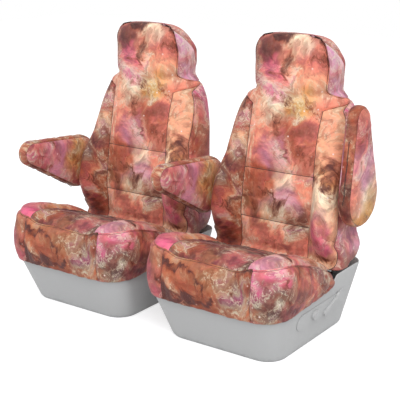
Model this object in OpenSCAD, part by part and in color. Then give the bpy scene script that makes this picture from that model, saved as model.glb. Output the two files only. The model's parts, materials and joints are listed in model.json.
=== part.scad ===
// A pair of bucket seats dressed in fitted covers: a cushion cover, a one-piece
// back and headrest cover, and armrest covers, over the foam and steel they fit.
// Millimetres. +Z is up, the seats face -Y and +X is the sitter's left-hand side.

/* [Seats] */
// Distance between the seats, centre to centre
seat_spacing = 690; // [660:1:820]
// Width of the cushion cover at its hem
seat_w = 580; // [574:1:640]
// Height of the headrest's top above the floor
total_h = 1095; // [1000:1:1200]
// Lean of the back from upright, in degrees
lean = 5.5; // [2:0.5:10]

/* [Covers] */
// Thickness of the cover cloth with its backing
cover_t = 4; // [2:0.5:6]
// Room between the cloth and the foam
cover_gap = 1.5; // [1:0.1:2.5]
// How far the seat cover hangs below the base rim
hem_drop = 14; // [8:1:20]

/* [Base] */
// Width of the base at the floor
base_w = 484; // [430:1:500]
// Height of the base rim under the cushion
rim_low = 200; // [180:1:220]
// Height of the base rim behind the cushion
rim_high = 240; // [225:1:244]
// Wall of the base shell
base_wall = 4; // [3:0.5:6]

/* [Cushion] */
// Foremost line of the cushion cover's hem, in front of the origin
cushion_front = 278; // [260:1:300]
// Rear end of the cushion, behind the origin
cushion_rear = 166; // [140:1:168]
// How far the side bolsters stand above the insert
bolster_rise = 20; // [8:1:30]

/* [Armrests] */
// Thickness of an armrest across the seat
arm_t = 76; // [60:1:86]
// Radius of the armrest's rear end
arm_rear_r = 112; // [95:1:120]
// Radius of the armrest's tip
arm_tip_r = 50; // [40:1:58]
// Distance between the centres of the two ends
arm_run = 290; // [250:1:320]
// Tilt of a lowered armrest, tip up, in degrees
arm_down = 17; // [8:1:22]
// Tilt of a raised armrest, in degrees
arm_up = 85; // [70:1:88]

/* [Hardware] */
// Diameter of the back frame's tube
tube_d = 25; // [20:1:28]
// Diameter of the recliner and armrest pivots
pivot_d = 20; // [16:1:22]
// Diametral play of a pivot in its bore
pivot_play = 0.1; // [0.04:0.02:0.2]
// Diameter of the headrest posts
post_d = 12; // [10:1:14]
// Diameter of the floor bolt holes
floor_hole_d = 11; // [9:0.5:13]
// Distance between the front and rear floor bolts
floor_bolt_pitch = 370; // [320:1:380]

/* [Hidden] */

print_pink = [0.80, 0.49, 0.46];
foam_cream = [0.88, 0.84, 0.70];
shell_grey = [0.68, 0.69, 0.68];
steel_grey = [0.42, 0.43, 0.45];
zinc_grey = [0.66, 0.67, 0.70];
trim_dark = [0.16, 0.15, 0.16];

// the seats' own origin is set back so that the pair's box is centred on the part's
seat_y = -92;
foam_inset = cover_t + cover_gap;

// seat base
base_front = 193;
base_rear = 350;
flare_front = 79;
flare_rear = 58;
flare_side = 46;
rim_step = 172;
base_corner = 80;
base_side = [0, 0.35, 0.6, 0.7, 0.715, 0.73, 0.745, 0.76, 1];
base_end = [0, 0.5, 1];

// seat pan and what holds it
pan_top = rim_low + 5;
pan_t = 4;
pan_w = base_w + 62;
pan_front = -262;
pan_rear = 388;
flange_h = 15;
flange_inset = 14;
flange_t = 3;
foot_t = 6;
foot_w = 56;
foot_l = 68;
// room from a foot to the outside of the base, which sets how far apart the two rails are
foot_room = 29;
rail_x = base_w / 2 - foot_room - foot_w / 2;
rail_w = 30;
bolt_mid_y = 75;
leg_l = 22;
leg_back = 26;
cross_d = 22;
cross_at = [-60, 215];

// recliner pivot, in the seat's frame
pivot_y = 290;
pivot_z = 285;
back_low = 250;
upright_x = 195;
plate_t = 6;
bracket_r = 24;

// armrest pivot, from the recliner pivot along the leaning back
arm_fwd = 65;
arm_rise = 172;
arm_inner = 276;
arm_hub = [-68, 9];
arm_plate_t = 8;
arm_plate_x = arm_inner + 25;
arm_bracket_x = 233;
bolt_head_t = 6;

side_tilt = atan(flare_side / rim_high);
lever_at = [205, 146];
knob_at = [35, 126];
shield_t = 3;

// ---- shared shapes ----

function sgn_pow(v, n) = sign(v) * pow(abs(v), 2 / n);
function clamp01(v) = min(1, max(0, v));
function ease(v) = let(u = clamp01(v)) u * u * (3 - 2 * u);

function reversed(list) = [for (i = [len(list) - 1:-1:0]) list[i]];

// skin of quads over a stack of rings with the same number of points, closed by two flat ends, or
// with looped by joining the last ring to the first
module loft(rings, looped = false) {
  n = len(rings[0]);
  m = len(rings);
  sides = [for (j = [0:(looped ? m - 1 : m - 2)], i = [0:n - 1])
    let(k = (i + 1) % n, up = (j + 1) % m) each [
      [j * n + i, j * n + k, up * n + k],
      [j * n + i, up * n + k, up * n + i]]];
  first = [for (i = [n - 1:-1:0]) i];
  last = [for (i = [0:n - 1]) (m - 1) * n + i];
  polyhedron([for (r = rings) each r], looped ? sides : concat([first], sides, [last]), convexity = 8);
}

// rounded rectangle from y0 to y1, as points in order around it from the front of the +X side;
// corner radii rf at the front and rr at the rear, side and end list where points lie along the edges
function corner(x, y, r, a0) = [for (i = [1:4]) [x + r * cos(a0 + 18 * i), y + r * sin(a0 + 18 * i)]];
function rounded_ring(hw, y0, y1, rf, rr, side, end) =
  let(s0 = y0 + rf, s1 = y1 - rr) concat(
    [for (f = side) [hw, s0 + f * (s1 - s0)]],
    corner(hw - rr, s1, rr, 0),
    [for (f = end) [(hw - rr) * (1 - 2 * f), y1]],
    corner(-hw + rr, s1, rr, 90),
    [for (f = reversed(side)) [-hw, s0 + f * (s1 - s0)]],
    corner(-hw + rf, s0, rf, 180),
    [for (f = end) [(rf - hw) * (1 - 2 * f), y0]],
    corner(hw - rf, s0, rf, 270));

module at_seat(side) {
  translate([side * seat_spacing / 2, seat_y, 0]) mirror([side < 0 ? 1 : 0, 0, 0]) children();
}

module both_sides() {
  children();
  mirror([1, 0, 0]) children();
}

module in_back() {
  translate([0, pivot_y, pivot_z]) rotate([-lean, 0, 0]) children();
}

module rod_x(x0, x1, d, fn = 40) {
  translate([x0, 0, 0]) rotate([0, 90, 0]) cylinder(h = x1 - x0, d = d, $fn = fn);
}

// ---- base ----

function base_rim(y) = rim_low + (rim_high - rim_low) * ease((y - rim_step) / 22);
function base_half(z, g) = base_w / 2 + flare_side * z / rim_high - g;
// plan of the base at height z, pulled in by g; the foot edge is a little smaller
function base_plan(z, g) = let(foot = z < 6 ? 5 : 0) rounded_ring(
  base_half(z, g) - foot,
  -base_front - flare_front * z / rim_low + g + foot, base_rear + flare_rear * z / rim_high - g - foot,
  base_corner - g, base_corner - g, base_side, base_end);
function base_ring(u, g) =
  let(guide = base_plan(u * rim_low, g))
  [for (i = [0:len(guide) - 1])
    let(z = u * base_rim(guide[i].y), p = base_plan(z, g)[i]) [p.x, p.y, z]];

module base_shell() {
  levels = [0, 0.04, 0.3, 0.6, 1];
  color(shell_grey) loft(concat(
    [for (u = levels) base_ring(u, 0)],
    [for (u = reversed(levels)) base_ring(u, base_wall)]), looped = true);
}

module foot(y) {
  difference() {
    translate([rail_x - foot_w / 2, y - foot_l / 2, 0]) cube([foot_w, foot_l, foot_t]);
    translate([rail_x, y, -1]) cylinder(h = foot_t + 2, d = floor_hole_d, $fn = 40);
  }
}

module floor_frame() {
  leg_h = pan_top - pan_t - rail_w;
  rail_ends = [40, 80];
  rail_y0 = bolt_mid_y - floor_bolt_pitch / 2 - rail_ends[0];
  color(steel_grey) union() {
    both_sides() {
      for (end = [-1, 1]) {
        foot(bolt_mid_y + end * floor_bolt_pitch / 2);
        // the leg stands beside its bolt, towards the middle of the seat
        translate([rail_x, bolt_mid_y + end * (floor_bolt_pitch / 2 - leg_back), (foot_t + leg_h) / 2])
          cube([rail_w, leg_l, leg_h - foot_t], center = true);
      }
      translate([rail_x - rail_w / 2, rail_y0, leg_h]) 
        cube([rail_w, floor_bolt_pitch + rail_ends[0] + rail_ends[1], rail_w]);
    }
    for (y = cross_at)
      translate([0, y, leg_h + rail_w / 2]) rod_x(-rail_x, rail_x, cross_d);
  }
}

function pan_outline(g) = let(r = base_corner - g)
  rounded_ring(pan_w / 2 - g, pan_front + g, pan_rear - g, r, r, base_end, base_end);

strap_x = 110;
strap_w = 25;
strap_z = pan_top - pan_t - flange_h - 14;
strap_t = 2;
strap_rear = cushion_rear + 4;

module seat_pan() {
  color(steel_grey) difference() {
    union() {
      translate([0, 0, pan_top - pan_t]) linear_extrude(pan_t) polygon(pan_outline(0));
      translate([0, 0, pan_top - pan_t - flange_h]) linear_extrude(flange_h + 1) difference() {
        polygon(pan_outline(flange_inset));
        polygon(pan_outline(flange_inset + flange_t));
        // the flange runs across the front only
        translate([-400, -200]) square([800, 700]);
      }
    }
    both_sides() translate([strap_x - strap_w / 2 - 3, strap_rear - 3, 0]) cube([strap_w + 6, 8, 400]);
  }
}

// ---- cushion ----

front_corner = 100;
rear_corner = 60;
cushion_side = [0, 0.2, 0.4, 0.6, 0.8, 1];
cushion_end = [0, 0.2, 0.35, 0.5, 0.65, 0.8, 1];
cushion_bulge = 12;
edge_r = 42;

// height of the insert along the seat, front to rear
insert_line = [[-290, 350], [-250, 367], [-200, 373], [-150, 366], [-100, 353], [-50, 337], [0, 320],
  [50, 303], [100, 287], [160, 270]];
function cushion_top(x, y) =
  let(u = abs(x) / (seat_w / 2), ridge = ease((u - 0.42) / 0.2) * (1 - ease((u - 0.86) / 0.3)))
  lookup(y, insert_line) + bolster_rise * ridge * (1 - ease((y - 20) / 130));
function cushion_hem(y) = rim_low - hem_drop + (hem_drop + 8) * ease((y - cushion_rear + rear_corner) / 26);
// plan of the cushion, as a list of points, swollen by swell everywhere but at the rear, where the
// back stands, then pulled in by g all round and scaled about its middle by s
function cushion_plan(swell, g, s) =
  let(front = cushion_front + swell - g, rear = cushion_rear - g, mid = (rear - front) / 2,
      half = (rear + front) / 2)
  rounded_ring(s * (seat_w / 2 + swell - g), mid - s * half, mid + s * half,
    s * (front_corner + swell - g), s * (rear_corner - g), cushion_side, cushion_end);
wall_levels = [0, 0.35, 0.7, 1];
function wall_ring(u, g) = [for (p = cushion_plan(cushion_bulge * sin(180 * u), g, 1))
  let(hem = cushion_hem(p.y), edge = cushion_top(p.x, p.y) - edge_r - g)
  [p.x, p.y, hem + u * (edge - hem)]];
// where the wall's lowest facets cross the height z
function cut_ring(z, g) =
  let(low = wall_ring(0, g), high = wall_ring(wall_levels[1], g))
  [for (i = [0:len(low) - 1]) let(t = clamp01((z - low[i].z) / (high[i].z - low[i].z)))
    let(p = low[i] + t * (high[i] - low[i])) [p.x, p.y, z]];
function edge_ring(t, g) = [for (p = cushion_plan(0, g + edge_r * (1 - cos(t)), 1))
  [p.x, p.y, cushion_top(p.x, p.y) - g - edge_r * (1 - sin(t))]];
function top_ring(s, g) = [for (p = cushion_plan(0, g + edge_r, s)) [p.x, p.y, cushion_top(p.x, p.y) - g]];
function cushion_rings(g) = concat(
  [for (u = [1:3]) wall_ring(wall_levels[u], g)],
  [for (t = [30, 60]) edge_ring(t, g)],
  [for (s = [1, 0.8, 0.56, 0.3, 0.08]) top_ring(s, g)]);

module cushion_foam() {
  // a little more room than elsewhere, because the cover's corners are flatter than the foam's
  inset = foam_inset + 3;
  color(foam_cream) loft(concat([cut_ring(pan_top, inset)], cushion_rings(inset)));
}

module cushion_cover() {
  color(print_pink) loft(concat(
    reversed(cushion_rings(cover_t)), [wall_ring(0, cover_t), wall_ring(0, 0)], cushion_rings(0)));
}

// ---- straps that pull the seat cover down under the pan ----

module seat_straps() {
  color(trim_dark) both_sides() translate([strap_x - strap_w / 2, 0, 0]) {
    translate([0, -236, strap_z]) cube([strap_w, 236 + strap_rear + strap_t, strap_t]);
    translate([0, strap_rear, strap_z]) cube([strap_w, strap_t, pan_top + 12 - strap_z]);
    // sewn tab that joins the strap to the cover's rear hem
    translate([0, cushion_rear + 0.2, pan_top + 6]) cube([strap_w, 6, 6]);
  }
}

module strap_buckles() {
  color(trim_dark) both_sides() translate([strap_x, -170, strap_z + strap_t / 2]) difference() {
    translate([-19, -28, -6]) cube([38, 56, 12]);
    translate([-strap_w / 2 - 0.1, -40, -strap_t / 2 - 0.1]) cube([strap_w + 0.2, 80, strap_t + 0.2]);
    translate([-8, -12, 2]) cube([16, 24, 10]);
  }
}

module strap_hooks() {
  hook_t = 3;
  hook_y = pan_front + flange_inset + flange_t + 0.3;
  color(zinc_grey) both_sides() translate([strap_x - 11, 0, 0]) {
    translate([0, hook_y, strap_z - hook_t]) cube([22, -222 - hook_y, hook_t]);
    translate([0, hook_y - 10, strap_z - hook_t]) cube([22, 10, hook_t]);
    translate([0, hook_y - 10, strap_z - hook_t]) cube([22, hook_t, 22]);
  }
}

// ---- side shield, lever and knob on the outer side of the base ----

// local frame on the sloping side: x outwards, y and z along the base's face
module on_side(at) {
  translate([base_half(at[1], 0) + 0.4, at[0], at[1]]) rotate([0, side_tilt, 0]) children();
}

module side_shield() {
  color(shell_grey) on_side([85, 124]) difference() {
    rotate([90, 0, 90]) linear_extrude(shield_t) union() {
      translate([-140, -32]) square([290, 64]);
      translate([-140, 0]) circle(r = 32, $fn = 60);
      translate([150, 4]) circle(r = 36, $fn = 60);
    }
    for (at = [lever_at, knob_at])
      translate([0, at[0] - 85, (at[1] - 124) / cos(side_tilt)]) rod_x(-1, shield_t + 1, 10.1);
  }
}

module recline_lever() {
  color(shell_grey) on_side(lever_at) union() {
    rod_x(-0.2, shield_t + 0.4, 10);
    rotate([90, 0, 90]) translate([0, 0, shield_t + 0.4]) linear_extrude(9) union() {
      circle(r = 17, $fn = 60);
      rotate(206) translate([0, -10]) square([95, 20]);
      rotate(206) translate([95, 0]) circle(r = 12, $fn = 60);
    }
  }
}

module tilt_knob() {
  color(shell_grey) on_side(knob_at) union() {
    rod_x(-0.2, shield_t + 0.4, 10);
    difference() {
      rod_x(shield_t + 0.4, shield_t + 12, 38, 60);
      for (i = [0:11])
        rotate([i * 30, 0, 0]) translate([0, 0, 21.5]) rod_x(shield_t - 1, shield_t + 14, 7, 24);
    }
  }
}

// ---- recliner ----

fixed_x = upright_x + tube_d / 2 + plate_t + 0.3;

module recliner_brackets() {
  foot_y = 30;
  foot_h = 26;
  foot_x = 22;
  color(zinc_grey) both_sides() difference() {
    union() {
      translate([0, pivot_y, pivot_z]) rod_x(fixed_x, fixed_x + plate_t, 36, 60);
      translate([fixed_x, pivot_y - 9, pan_top]) cube([plate_t, 18, pivot_z - pan_top]);
      translate([fixed_x, pivot_y - foot_y, pan_top]) cube([plate_t, 2 * foot_y, foot_h]);
      translate([fixed_x - foot_x, pivot_y - foot_y, pan_top]) cube([foot_x, 2 * foot_y, plate_t]);
    }
    translate([0, pivot_y, pivot_z]) rod_x(fixed_x - 1, fixed_x + plate_t + 1, pivot_d - 4);
  }
}

module recliner_bolts() {
  color(zinc_grey) both_sides() translate([0, pivot_y, pivot_z]) {
    rod_x(fixed_x - 0.1, fixed_x + plate_t, pivot_d - 4);
    rod_x(fixed_x + plate_t, fixed_x + plate_t + 5, pivot_d + 8, 6);
    rod_x(fixed_x - plate_t - 1.3, fixed_x - 0.1, pivot_d - pivot_play, 60);
    rod_x(fixed_x - plate_t - 6, fixed_x - plate_t - 1.3, pivot_d + 8, 60);
  }
}

module recliner_shaft() {
  reach = fixed_x - plate_t - 6;
  color(zinc_grey) translate([0, pivot_y, pivot_z]) rod_x(-reach, reach, 10);
}

// ---- back ----

back_points = 36;
// height fraction, half-width, depth before the frame, depth behind it, bolster, shift of the centre
back_rows = [
  [0.000, 0.86, 78, 52, 0, 0], [0.014, 0.95, 98, 70, 0, 0], [0.040, 1.00, 108, 88, 12, 0],
  [0.080, 1.02, 114, 103, 36, 0], [0.118, 0.98, 117, 105, 62, 0], [0.148, 0.95, 120, 105, 78, 0],
  [0.220, 0.935, 122, 103, 98, 0], [0.330, 0.935, 121, 103, 88, 0], [0.450, 0.93, 120, 95, 30, 0],
  [0.560, 0.91, 114, 84, 0, 0], [0.640, 0.865, 106, 76, 0, 0], [0.700, 0.765, 100, 82, 0, 0],
  [0.735, 0.64, 98, 98, 0, 0], [0.760, 0.57, 106, 116, 0, 0], [0.790, 0.575, 116, 122, 0, 0],
  [0.860, 0.585, 120, 107, 0, 0], [0.930, 0.565, 86, 83, 0, -34], [0.968, 0.52, 58, 55, 0, -50],
  [0.991, 0.44, 36, 31, 0, -62], [1.000, 0.32, 18, 15, 0, -66]];
neck_row = 12;
split_room = 16;
split_room_low = 32;
front_pad_room = 2;
rear_pad_room = 0.5;

function back_z(row, g) = back_low + row[0] * (total_h - g - back_low);
function back_mid(z) = pivot_y + (z - pivot_z) * tan(lean);
// share of the bolster's depth, across the half-width and down the corner to the side
function bolster(u, s) = pow(sin(180 * clamp01((u - 0.5) / 0.72)), 2) * min(1, -2 * s);
// one level of the back; part is 0 for the whole section, -1 for the pad before the frame and 1 for
// the pad behind it, whose corners are a little rounder so that they clear the cover
function back_ring(row, g, part) =
  let(z = back_z(row, g), w = row[1] * seat_w / 2 - g, yc = back_mid(z) + row[5],
      front = row[2] - g, rear = row[3] - g, n = part == 0 ? 3.2 : 2.8,
      room = row[0] < 0.09 ? split_room_low : split_room,
      a0 = part == 0 ? 0 : asin(pow(room / (part < 0 ? front : rear), n / 2)))
  [for (a = part == 0 ? [for (i = [0:back_points - 1]) 360 * i / back_points]
      : [for (i = [0:back_points / 2]) (part < 0 ? 180 : 0) + a0 + (180 - 2 * a0) * 2 * i / back_points])
    let(x = w * sgn_pow(cos(a), n), s = sgn_pow(sin(a), n),
        bump = s < 0 ? row[4] * bolster(abs(x) / w, s) * (part == 0 ? 1 : 0.82) : 0)
    [x, yc + (s < 0 ? s * front : s * rear) - bump, z]];
function back_rings(g, part, r0, r1) = [for (j = [r0:r1]) back_ring(back_rows[j], g, part)];

arm_pivot_y = pivot_y - arm_fwd * cos(lean) + arm_rise * sin(lean);
arm_pivot_z = pivot_z + arm_fwd * sin(lean) + arm_rise * cos(lean);

module back_foam() {
  color(foam_cream) {
    difference() {
      loft(back_rings(foam_inset + front_pad_room, -1, 0, neck_row));
      // room for the armrest brackets at the sides
      both_sides() translate([arm_bracket_x - 8, arm_pivot_y - 26, arm_pivot_z - 26]) cube([60, 120, 52]);
    }
    loft(back_rings(foam_inset + rear_pad_room, 1, 0, neck_row));
  }
}

module headrest_foam() {
  color(foam_cream) difference() {
    loft(back_rings(foam_inset, 0, neck_row + 1, len(back_rows) - 1));
    in_back() both_sides() translate([post_x, 0, 400]) cylinder(h = post_top - 399, d = post_d + 1, $fn = 40);
  }
}

module back_cover(inner_arm, outer_arm) {
  last = len(back_rows) - 1;
  color(print_pink) difference() {
    loft(concat(reversed(back_rings(cover_t, 0, 0, last)), back_rings(0, 0, 0, last)));
    // holes for the armrest bolts
    translate([0, arm_pivot_y, arm_pivot_z]) {
      if (outer_arm) rod_x(240, 300, pivot_d + 6);
      if (inner_arm) rod_x(-300, -240, pivot_d + 6);
    }
  }
}

module closure_strip() {
  z = back_low + 84;
  color(trim_dark) translate([-150, back_mid(z) + 105.3, z]) rotate([-lean, 0, 0]) cube([300, 1.6, 38]);
}

frame_top = 540;
post_x = 62;
post_top = 715;
bend_r = 60;

module back_frame() {
  color(steel_grey) in_back() union() {
    both_sides() {
      translate([upright_x, 0, 34]) cylinder(h = frame_top - bend_r - 34, d = tube_d, $fn = 40);
      translate([upright_x - bend_r, 0, frame_top - bend_r]) rotate([90, 0, 0])
        rotate_extrude(angle = 90, $fn = 60) translate([bend_r, 0]) circle(d = tube_d, $fn = 40);
      // recliner plate, flush with the outer side of the tube
      difference() {
        union() {
          rod_x(upright_x + tube_d / 2 - 0.5, fixed_x - 0.3, 2 * bracket_r, 60);
          translate([upright_x + 4, -13, 20]) cube([fixed_x - 0.3 - upright_x - 4, 26, 70]);
        }
        rod_x(upright_x, fixed_x + 2, pivot_d, 60);
        // room for the inner head of the recliner bolt
        rod_x(upright_x, upright_x + tube_d / 2 - 0.5, 2 * bracket_r);
      }
      // armrest bracket
      difference() {
        union() {
          translate([0, -arm_fwd, arm_rise]) rod_x(arm_bracket_x, arm_bracket_x + plate_t, 40, 60);
          translate([arm_bracket_x, -arm_fwd, arm_rise - 14]) cube([plate_t, arm_fwd + 12, 28]);
          translate([0, 0, arm_rise]) rod_x(upright_x, arm_bracket_x + 1, 20);
        }
        translate([0, -arm_fwd, arm_rise]) rod_x(arm_bracket_x - 1, arm_bracket_x + 20, pivot_d - 4);
      }
    }
    translate([0, 0, frame_top]) rod_x(-upright_x + bend_r, upright_x - bend_r, tube_d);
    for (z = [110, 330])
      translate([0, 0, z]) rod_x(-upright_x, upright_x, 18);
  }
}

module headrest_posts() {
  color(zinc_grey) in_back() both_sides() translate([post_x, 0, frame_top + tube_d / 2 + 0.2]) {
    cylinder(h = post_top - frame_top - tube_d / 2 - 1, d = post_d, $fn = 40);
  }
}

module post_guides() {
  color(trim_dark) in_back() both_sides() translate([post_x, 0, frame_top + tube_d / 2]) difference() {
    cylinder(h = 26, d = post_d + 12, $fn = 40);
    translate([0, 0, -1]) cylinder(h = 30, d = post_d + 0.2, $fn = 40);
  }
}

// ---- armrests ----

// side outline of an armrest lying level with its tip to the left: two round ends and their tangents
function arc(c, r, a0, a1, n) = [for (i = [0:n]) let(a = a0 + (a1 - a0) * i / n) c + r * [cos(a), sin(a)]];
module arm_outline(g, hub_r, tip_r) {
  a = acos((hub_r - tip_r) / arm_run);
  polygon(concat(
    arc(arm_hub, hub_r - g, a - 180, 180 - a, 30),
    arc(arm_hub - [arm_run, 0], tip_r - g, 180 - a, 180 + a, 16)));
}

// local frame of an armrest on the +X side: pivot at the origin, tip towards -Y
module at_arm(tilt) {
  translate([0, arm_pivot_y, arm_pivot_z]) rotate([-tilt, 0, 0]) children();
}

module arm_slab(x0, x1, g, hub_r, tip_r) {
  translate([x0, 0, 0]) rotate([90, 0, 90]) linear_extrude(x1 - x0) arm_outline(g, hub_r, tip_r);
}

module arm_cover(tilt) {
  color(print_pink) at_arm(tilt) difference() {
    arm_slab(arm_inner, arm_inner + arm_t, 0, arm_rear_r, arm_tip_r);
    arm_slab(arm_inner + cover_t, arm_inner + arm_t - cover_t, cover_t, arm_rear_r, arm_tip_r);
    rod_x(arm_inner - 1, arm_inner + 10, pivot_d + 10);
  }
}

module arm_foam(tilt) {
  color(foam_cream) at_arm(tilt) difference() {
    arm_slab(arm_inner + foam_inset, arm_inner + arm_t - foam_inset, foam_inset, arm_rear_r, arm_tip_r);
    arm_slab(arm_plate_x - 0.2, arm_plate_x + arm_plate_t + 0.2, -0.2, 44, 26);
    rod_x(arm_inner, arm_plate_x, pivot_d + 10);
    rod_x(arm_plate_x, arm_plate_x + arm_plate_t + bolt_head_t + 3, pivot_d + 20);
    translate([arm_plate_x - 0.2, 0, 0]) rotate([90, 0, 90]) linear_extrude(arm_plate_t + 0.4)
      arm_web(-0.2);
  }
}

// the plate's lobe that carries the pivot
module arm_web(g) {
  circle(r = 30 - g, $fn = 60);
  translate([-60, -30 + g]) square([60, 60 - 2 * g]);
}

module arm_plate(tilt) {
  color(steel_grey) at_arm(tilt) difference() {
    union() {
      arm_slab(arm_plate_x, arm_plate_x + arm_plate_t, 0, 44, 26);
      translate([arm_plate_x, 0, 0]) rotate([90, 0, 90]) linear_extrude(arm_plate_t) arm_web(0);
    }
    rod_x(arm_plate_x - 1, arm_plate_x + arm_plate_t + 1, pivot_d, 60);
  }
}

module arm_bolt() {
  head_x = arm_plate_x + arm_plate_t + 0.3;
  color(zinc_grey) translate([0, arm_pivot_y, arm_pivot_z]) {
    rod_x(arm_bracket_x - 6, arm_bracket_x, pivot_d + 6, 6);
    rod_x(arm_bracket_x, arm_bracket_x + plate_t, pivot_d - 4);
    rod_x(arm_bracket_x + plate_t, head_x, pivot_d - pivot_play, 60);
    rod_x(head_x, head_x + bolt_head_t, pivot_d + 12, 40);
  }
}

module arm_zip(tilt) {
  drop = (arm_rear_r + arm_tip_r) / 2 + 1.9;
  slope = asin((arm_rear_r - arm_tip_r) / arm_run);
  color(trim_dark) at_arm(tilt)
    translate([arm_inner + arm_t / 2 - 8, arm_hub[0] - arm_run / 2, arm_hub[1]])
      rotate([-slope, 0, 0]) translate([0, -115, -drop]) cube([16, 220, 1.6]);
}

at_seat(-1) base_shell();  // left_base_shell
at_seat(-1) floor_frame();  // left_floor_frame
at_seat(-1) seat_pan();  // left_seat_pan
at_seat(-1) cushion_foam();  // left_cushion_foam
at_seat(-1) cushion_cover();  // left_cushion_cover
at_seat(-1) seat_straps();  // left_seat_straps
at_seat(-1) strap_buckles();  // left_strap_buckles
at_seat(-1) strap_hooks();  // left_strap_hooks
at_seat(-1) side_shield();  // left_side_shield
at_seat(-1) recline_lever();  // left_recline_lever
at_seat(-1) tilt_knob();  // left_tilt_knob
at_seat(-1) recliner_brackets();  // left_recliner_brackets
at_seat(-1) recliner_bolts();  // left_recliner_bolts
at_seat(-1) recliner_shaft();  // left_recliner_shaft
at_seat(-1) back_frame();  // left_back_frame
at_seat(-1) headrest_posts();  // left_headrest_posts
at_seat(-1) post_guides();  // left_post_guides
at_seat(-1) back_foam();  // left_back_foam
at_seat(-1) headrest_foam();  // left_headrest_foam
at_seat(-1) back_cover(false, true);  // left_back_cover
at_seat(-1) closure_strip();  // left_closure_strip
at_seat(1) base_shell();  // right_base_shell
at_seat(1) floor_frame();  // right_floor_frame
at_seat(1) seat_pan();  // right_seat_pan
at_seat(1) cushion_foam();  // right_cushion_foam
at_seat(1) cushion_cover();  // right_cushion_cover
at_seat(1) seat_straps();  // right_seat_straps
at_seat(1) strap_buckles();  // right_strap_buckles
at_seat(1) strap_hooks();  // right_strap_hooks
at_seat(1) side_shield();  // right_side_shield
at_seat(1) recline_lever();  // right_recline_lever
at_seat(1) tilt_knob();  // right_tilt_knob
at_seat(1) recliner_brackets();  // right_recliner_brackets
at_seat(1) recliner_bolts();  // right_recliner_bolts
at_seat(1) recliner_shaft();  // right_recliner_shaft
at_seat(1) back_frame();  // right_back_frame
at_seat(1) headrest_posts();  // right_headrest_posts
at_seat(1) post_guides();  // right_post_guides
at_seat(1) back_foam();  // right_back_foam
at_seat(1) headrest_foam();  // right_headrest_foam
at_seat(1) back_cover(true, true);  // right_back_cover
at_seat(1) closure_strip();  // right_closure_strip
at_seat(-1) arm_cover(arm_down);  // left_arm_cover
at_seat(-1) arm_foam(arm_down);  // left_arm_foam
at_seat(-1) arm_plate(arm_down);  // left_arm_plate
at_seat(-1) arm_bolt();  // left_arm_bolt
at_seat(-1) arm_zip(arm_down);  // left_arm_zip
at_seat(1) mirror([1, 0, 0]) arm_cover(arm_down);  // middle_arm_cover
at_seat(1) mirror([1, 0, 0]) arm_foam(arm_down);  // middle_arm_foam
at_seat(1) mirror([1, 0, 0]) arm_plate(arm_down);  // middle_arm_plate
at_seat(1) mirror([1, 0, 0]) arm_bolt();  // middle_arm_bolt
at_seat(1) mirror([1, 0, 0]) arm_zip(arm_down);  // middle_arm_zip
at_seat(1) arm_cover(arm_up);  // right_arm_cover
at_seat(1) arm_foam(arm_up);  // right_arm_foam
at_seat(1) arm_plate(arm_up);  // right_arm_plate
at_seat(1) arm_bolt();  // right_arm_bolt
at_seat(1) arm_zip(arm_up);  // right_arm_zip
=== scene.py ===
import json
import math

import bmesh
import bpy
import numpy as np
from mathutils import Matrix, Vector


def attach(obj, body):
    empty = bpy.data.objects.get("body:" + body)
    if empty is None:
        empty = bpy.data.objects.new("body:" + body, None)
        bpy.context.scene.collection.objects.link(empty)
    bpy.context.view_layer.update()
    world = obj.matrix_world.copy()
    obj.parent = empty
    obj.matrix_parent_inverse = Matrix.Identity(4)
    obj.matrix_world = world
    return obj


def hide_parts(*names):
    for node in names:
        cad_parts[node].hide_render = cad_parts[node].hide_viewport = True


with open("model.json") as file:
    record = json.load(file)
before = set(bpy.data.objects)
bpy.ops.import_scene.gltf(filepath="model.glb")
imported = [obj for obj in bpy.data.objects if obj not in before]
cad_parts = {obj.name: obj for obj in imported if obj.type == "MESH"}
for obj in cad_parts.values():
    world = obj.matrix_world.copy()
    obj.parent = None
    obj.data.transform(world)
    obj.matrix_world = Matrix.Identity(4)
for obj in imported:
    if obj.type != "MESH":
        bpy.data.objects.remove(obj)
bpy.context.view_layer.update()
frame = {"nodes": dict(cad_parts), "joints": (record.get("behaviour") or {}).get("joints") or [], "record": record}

scene = bpy.context.scene
scene.view_settings.view_transform = "Standard"
jointNamed = {j["name"]: j for j in frame["joints"]}

# each seat stands round its recliner, so its own origin comes from that joint
pivotInSeat = (0.0, 0.290, 0.285)
seatAt = {}
for side in ("left", "right"):
    reclineAt = jointNamed[side + "_recline"]["pos_m"]
    seatAt[side] = np.array(reclineAt) - np.array(pivotInSeat)


# small tools

def smoothStep(v):
    v = np.clip(v, 0, 1)
    return v * v * (3 - 2 * v)


def roundPow(v, fullness):
    return np.sign(v) * np.abs(v) ** (2 / fullness)


def readCurve(points, at):
    # a curve through the points that never overshoots them
    p = np.array(points, float)
    x, y = p[:, 0], p[:, 1]
    step, rise = np.diff(x), np.diff(y)
    slope = rise / step
    tangent = np.zeros(len(x))
    same = slope[:-1] * slope[1:] > 0
    tangent[1:-1][same] = 2 * slope[:-1][same] * slope[1:][same] / (slope[:-1][same] + slope[1:][same])
    tangent[0], tangent[-1] = slope[0], slope[-1]
    at = np.clip(np.asarray(at, float), x[0], x[-1])
    i = np.clip(np.searchsorted(x, at, "right") - 1, 0, len(step) - 1)
    t = (at - x[i]) / step[i]
    return ((1 + 2 * t) * (1 - t) ** 2 * y[i] + t * (1 - t) ** 2 * step[i] * tangent[i]
            + t * t * (3 - 2 * t) * y[i + 1] + t * t * (t - 1) * step[i] * tangent[i + 1])


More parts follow.
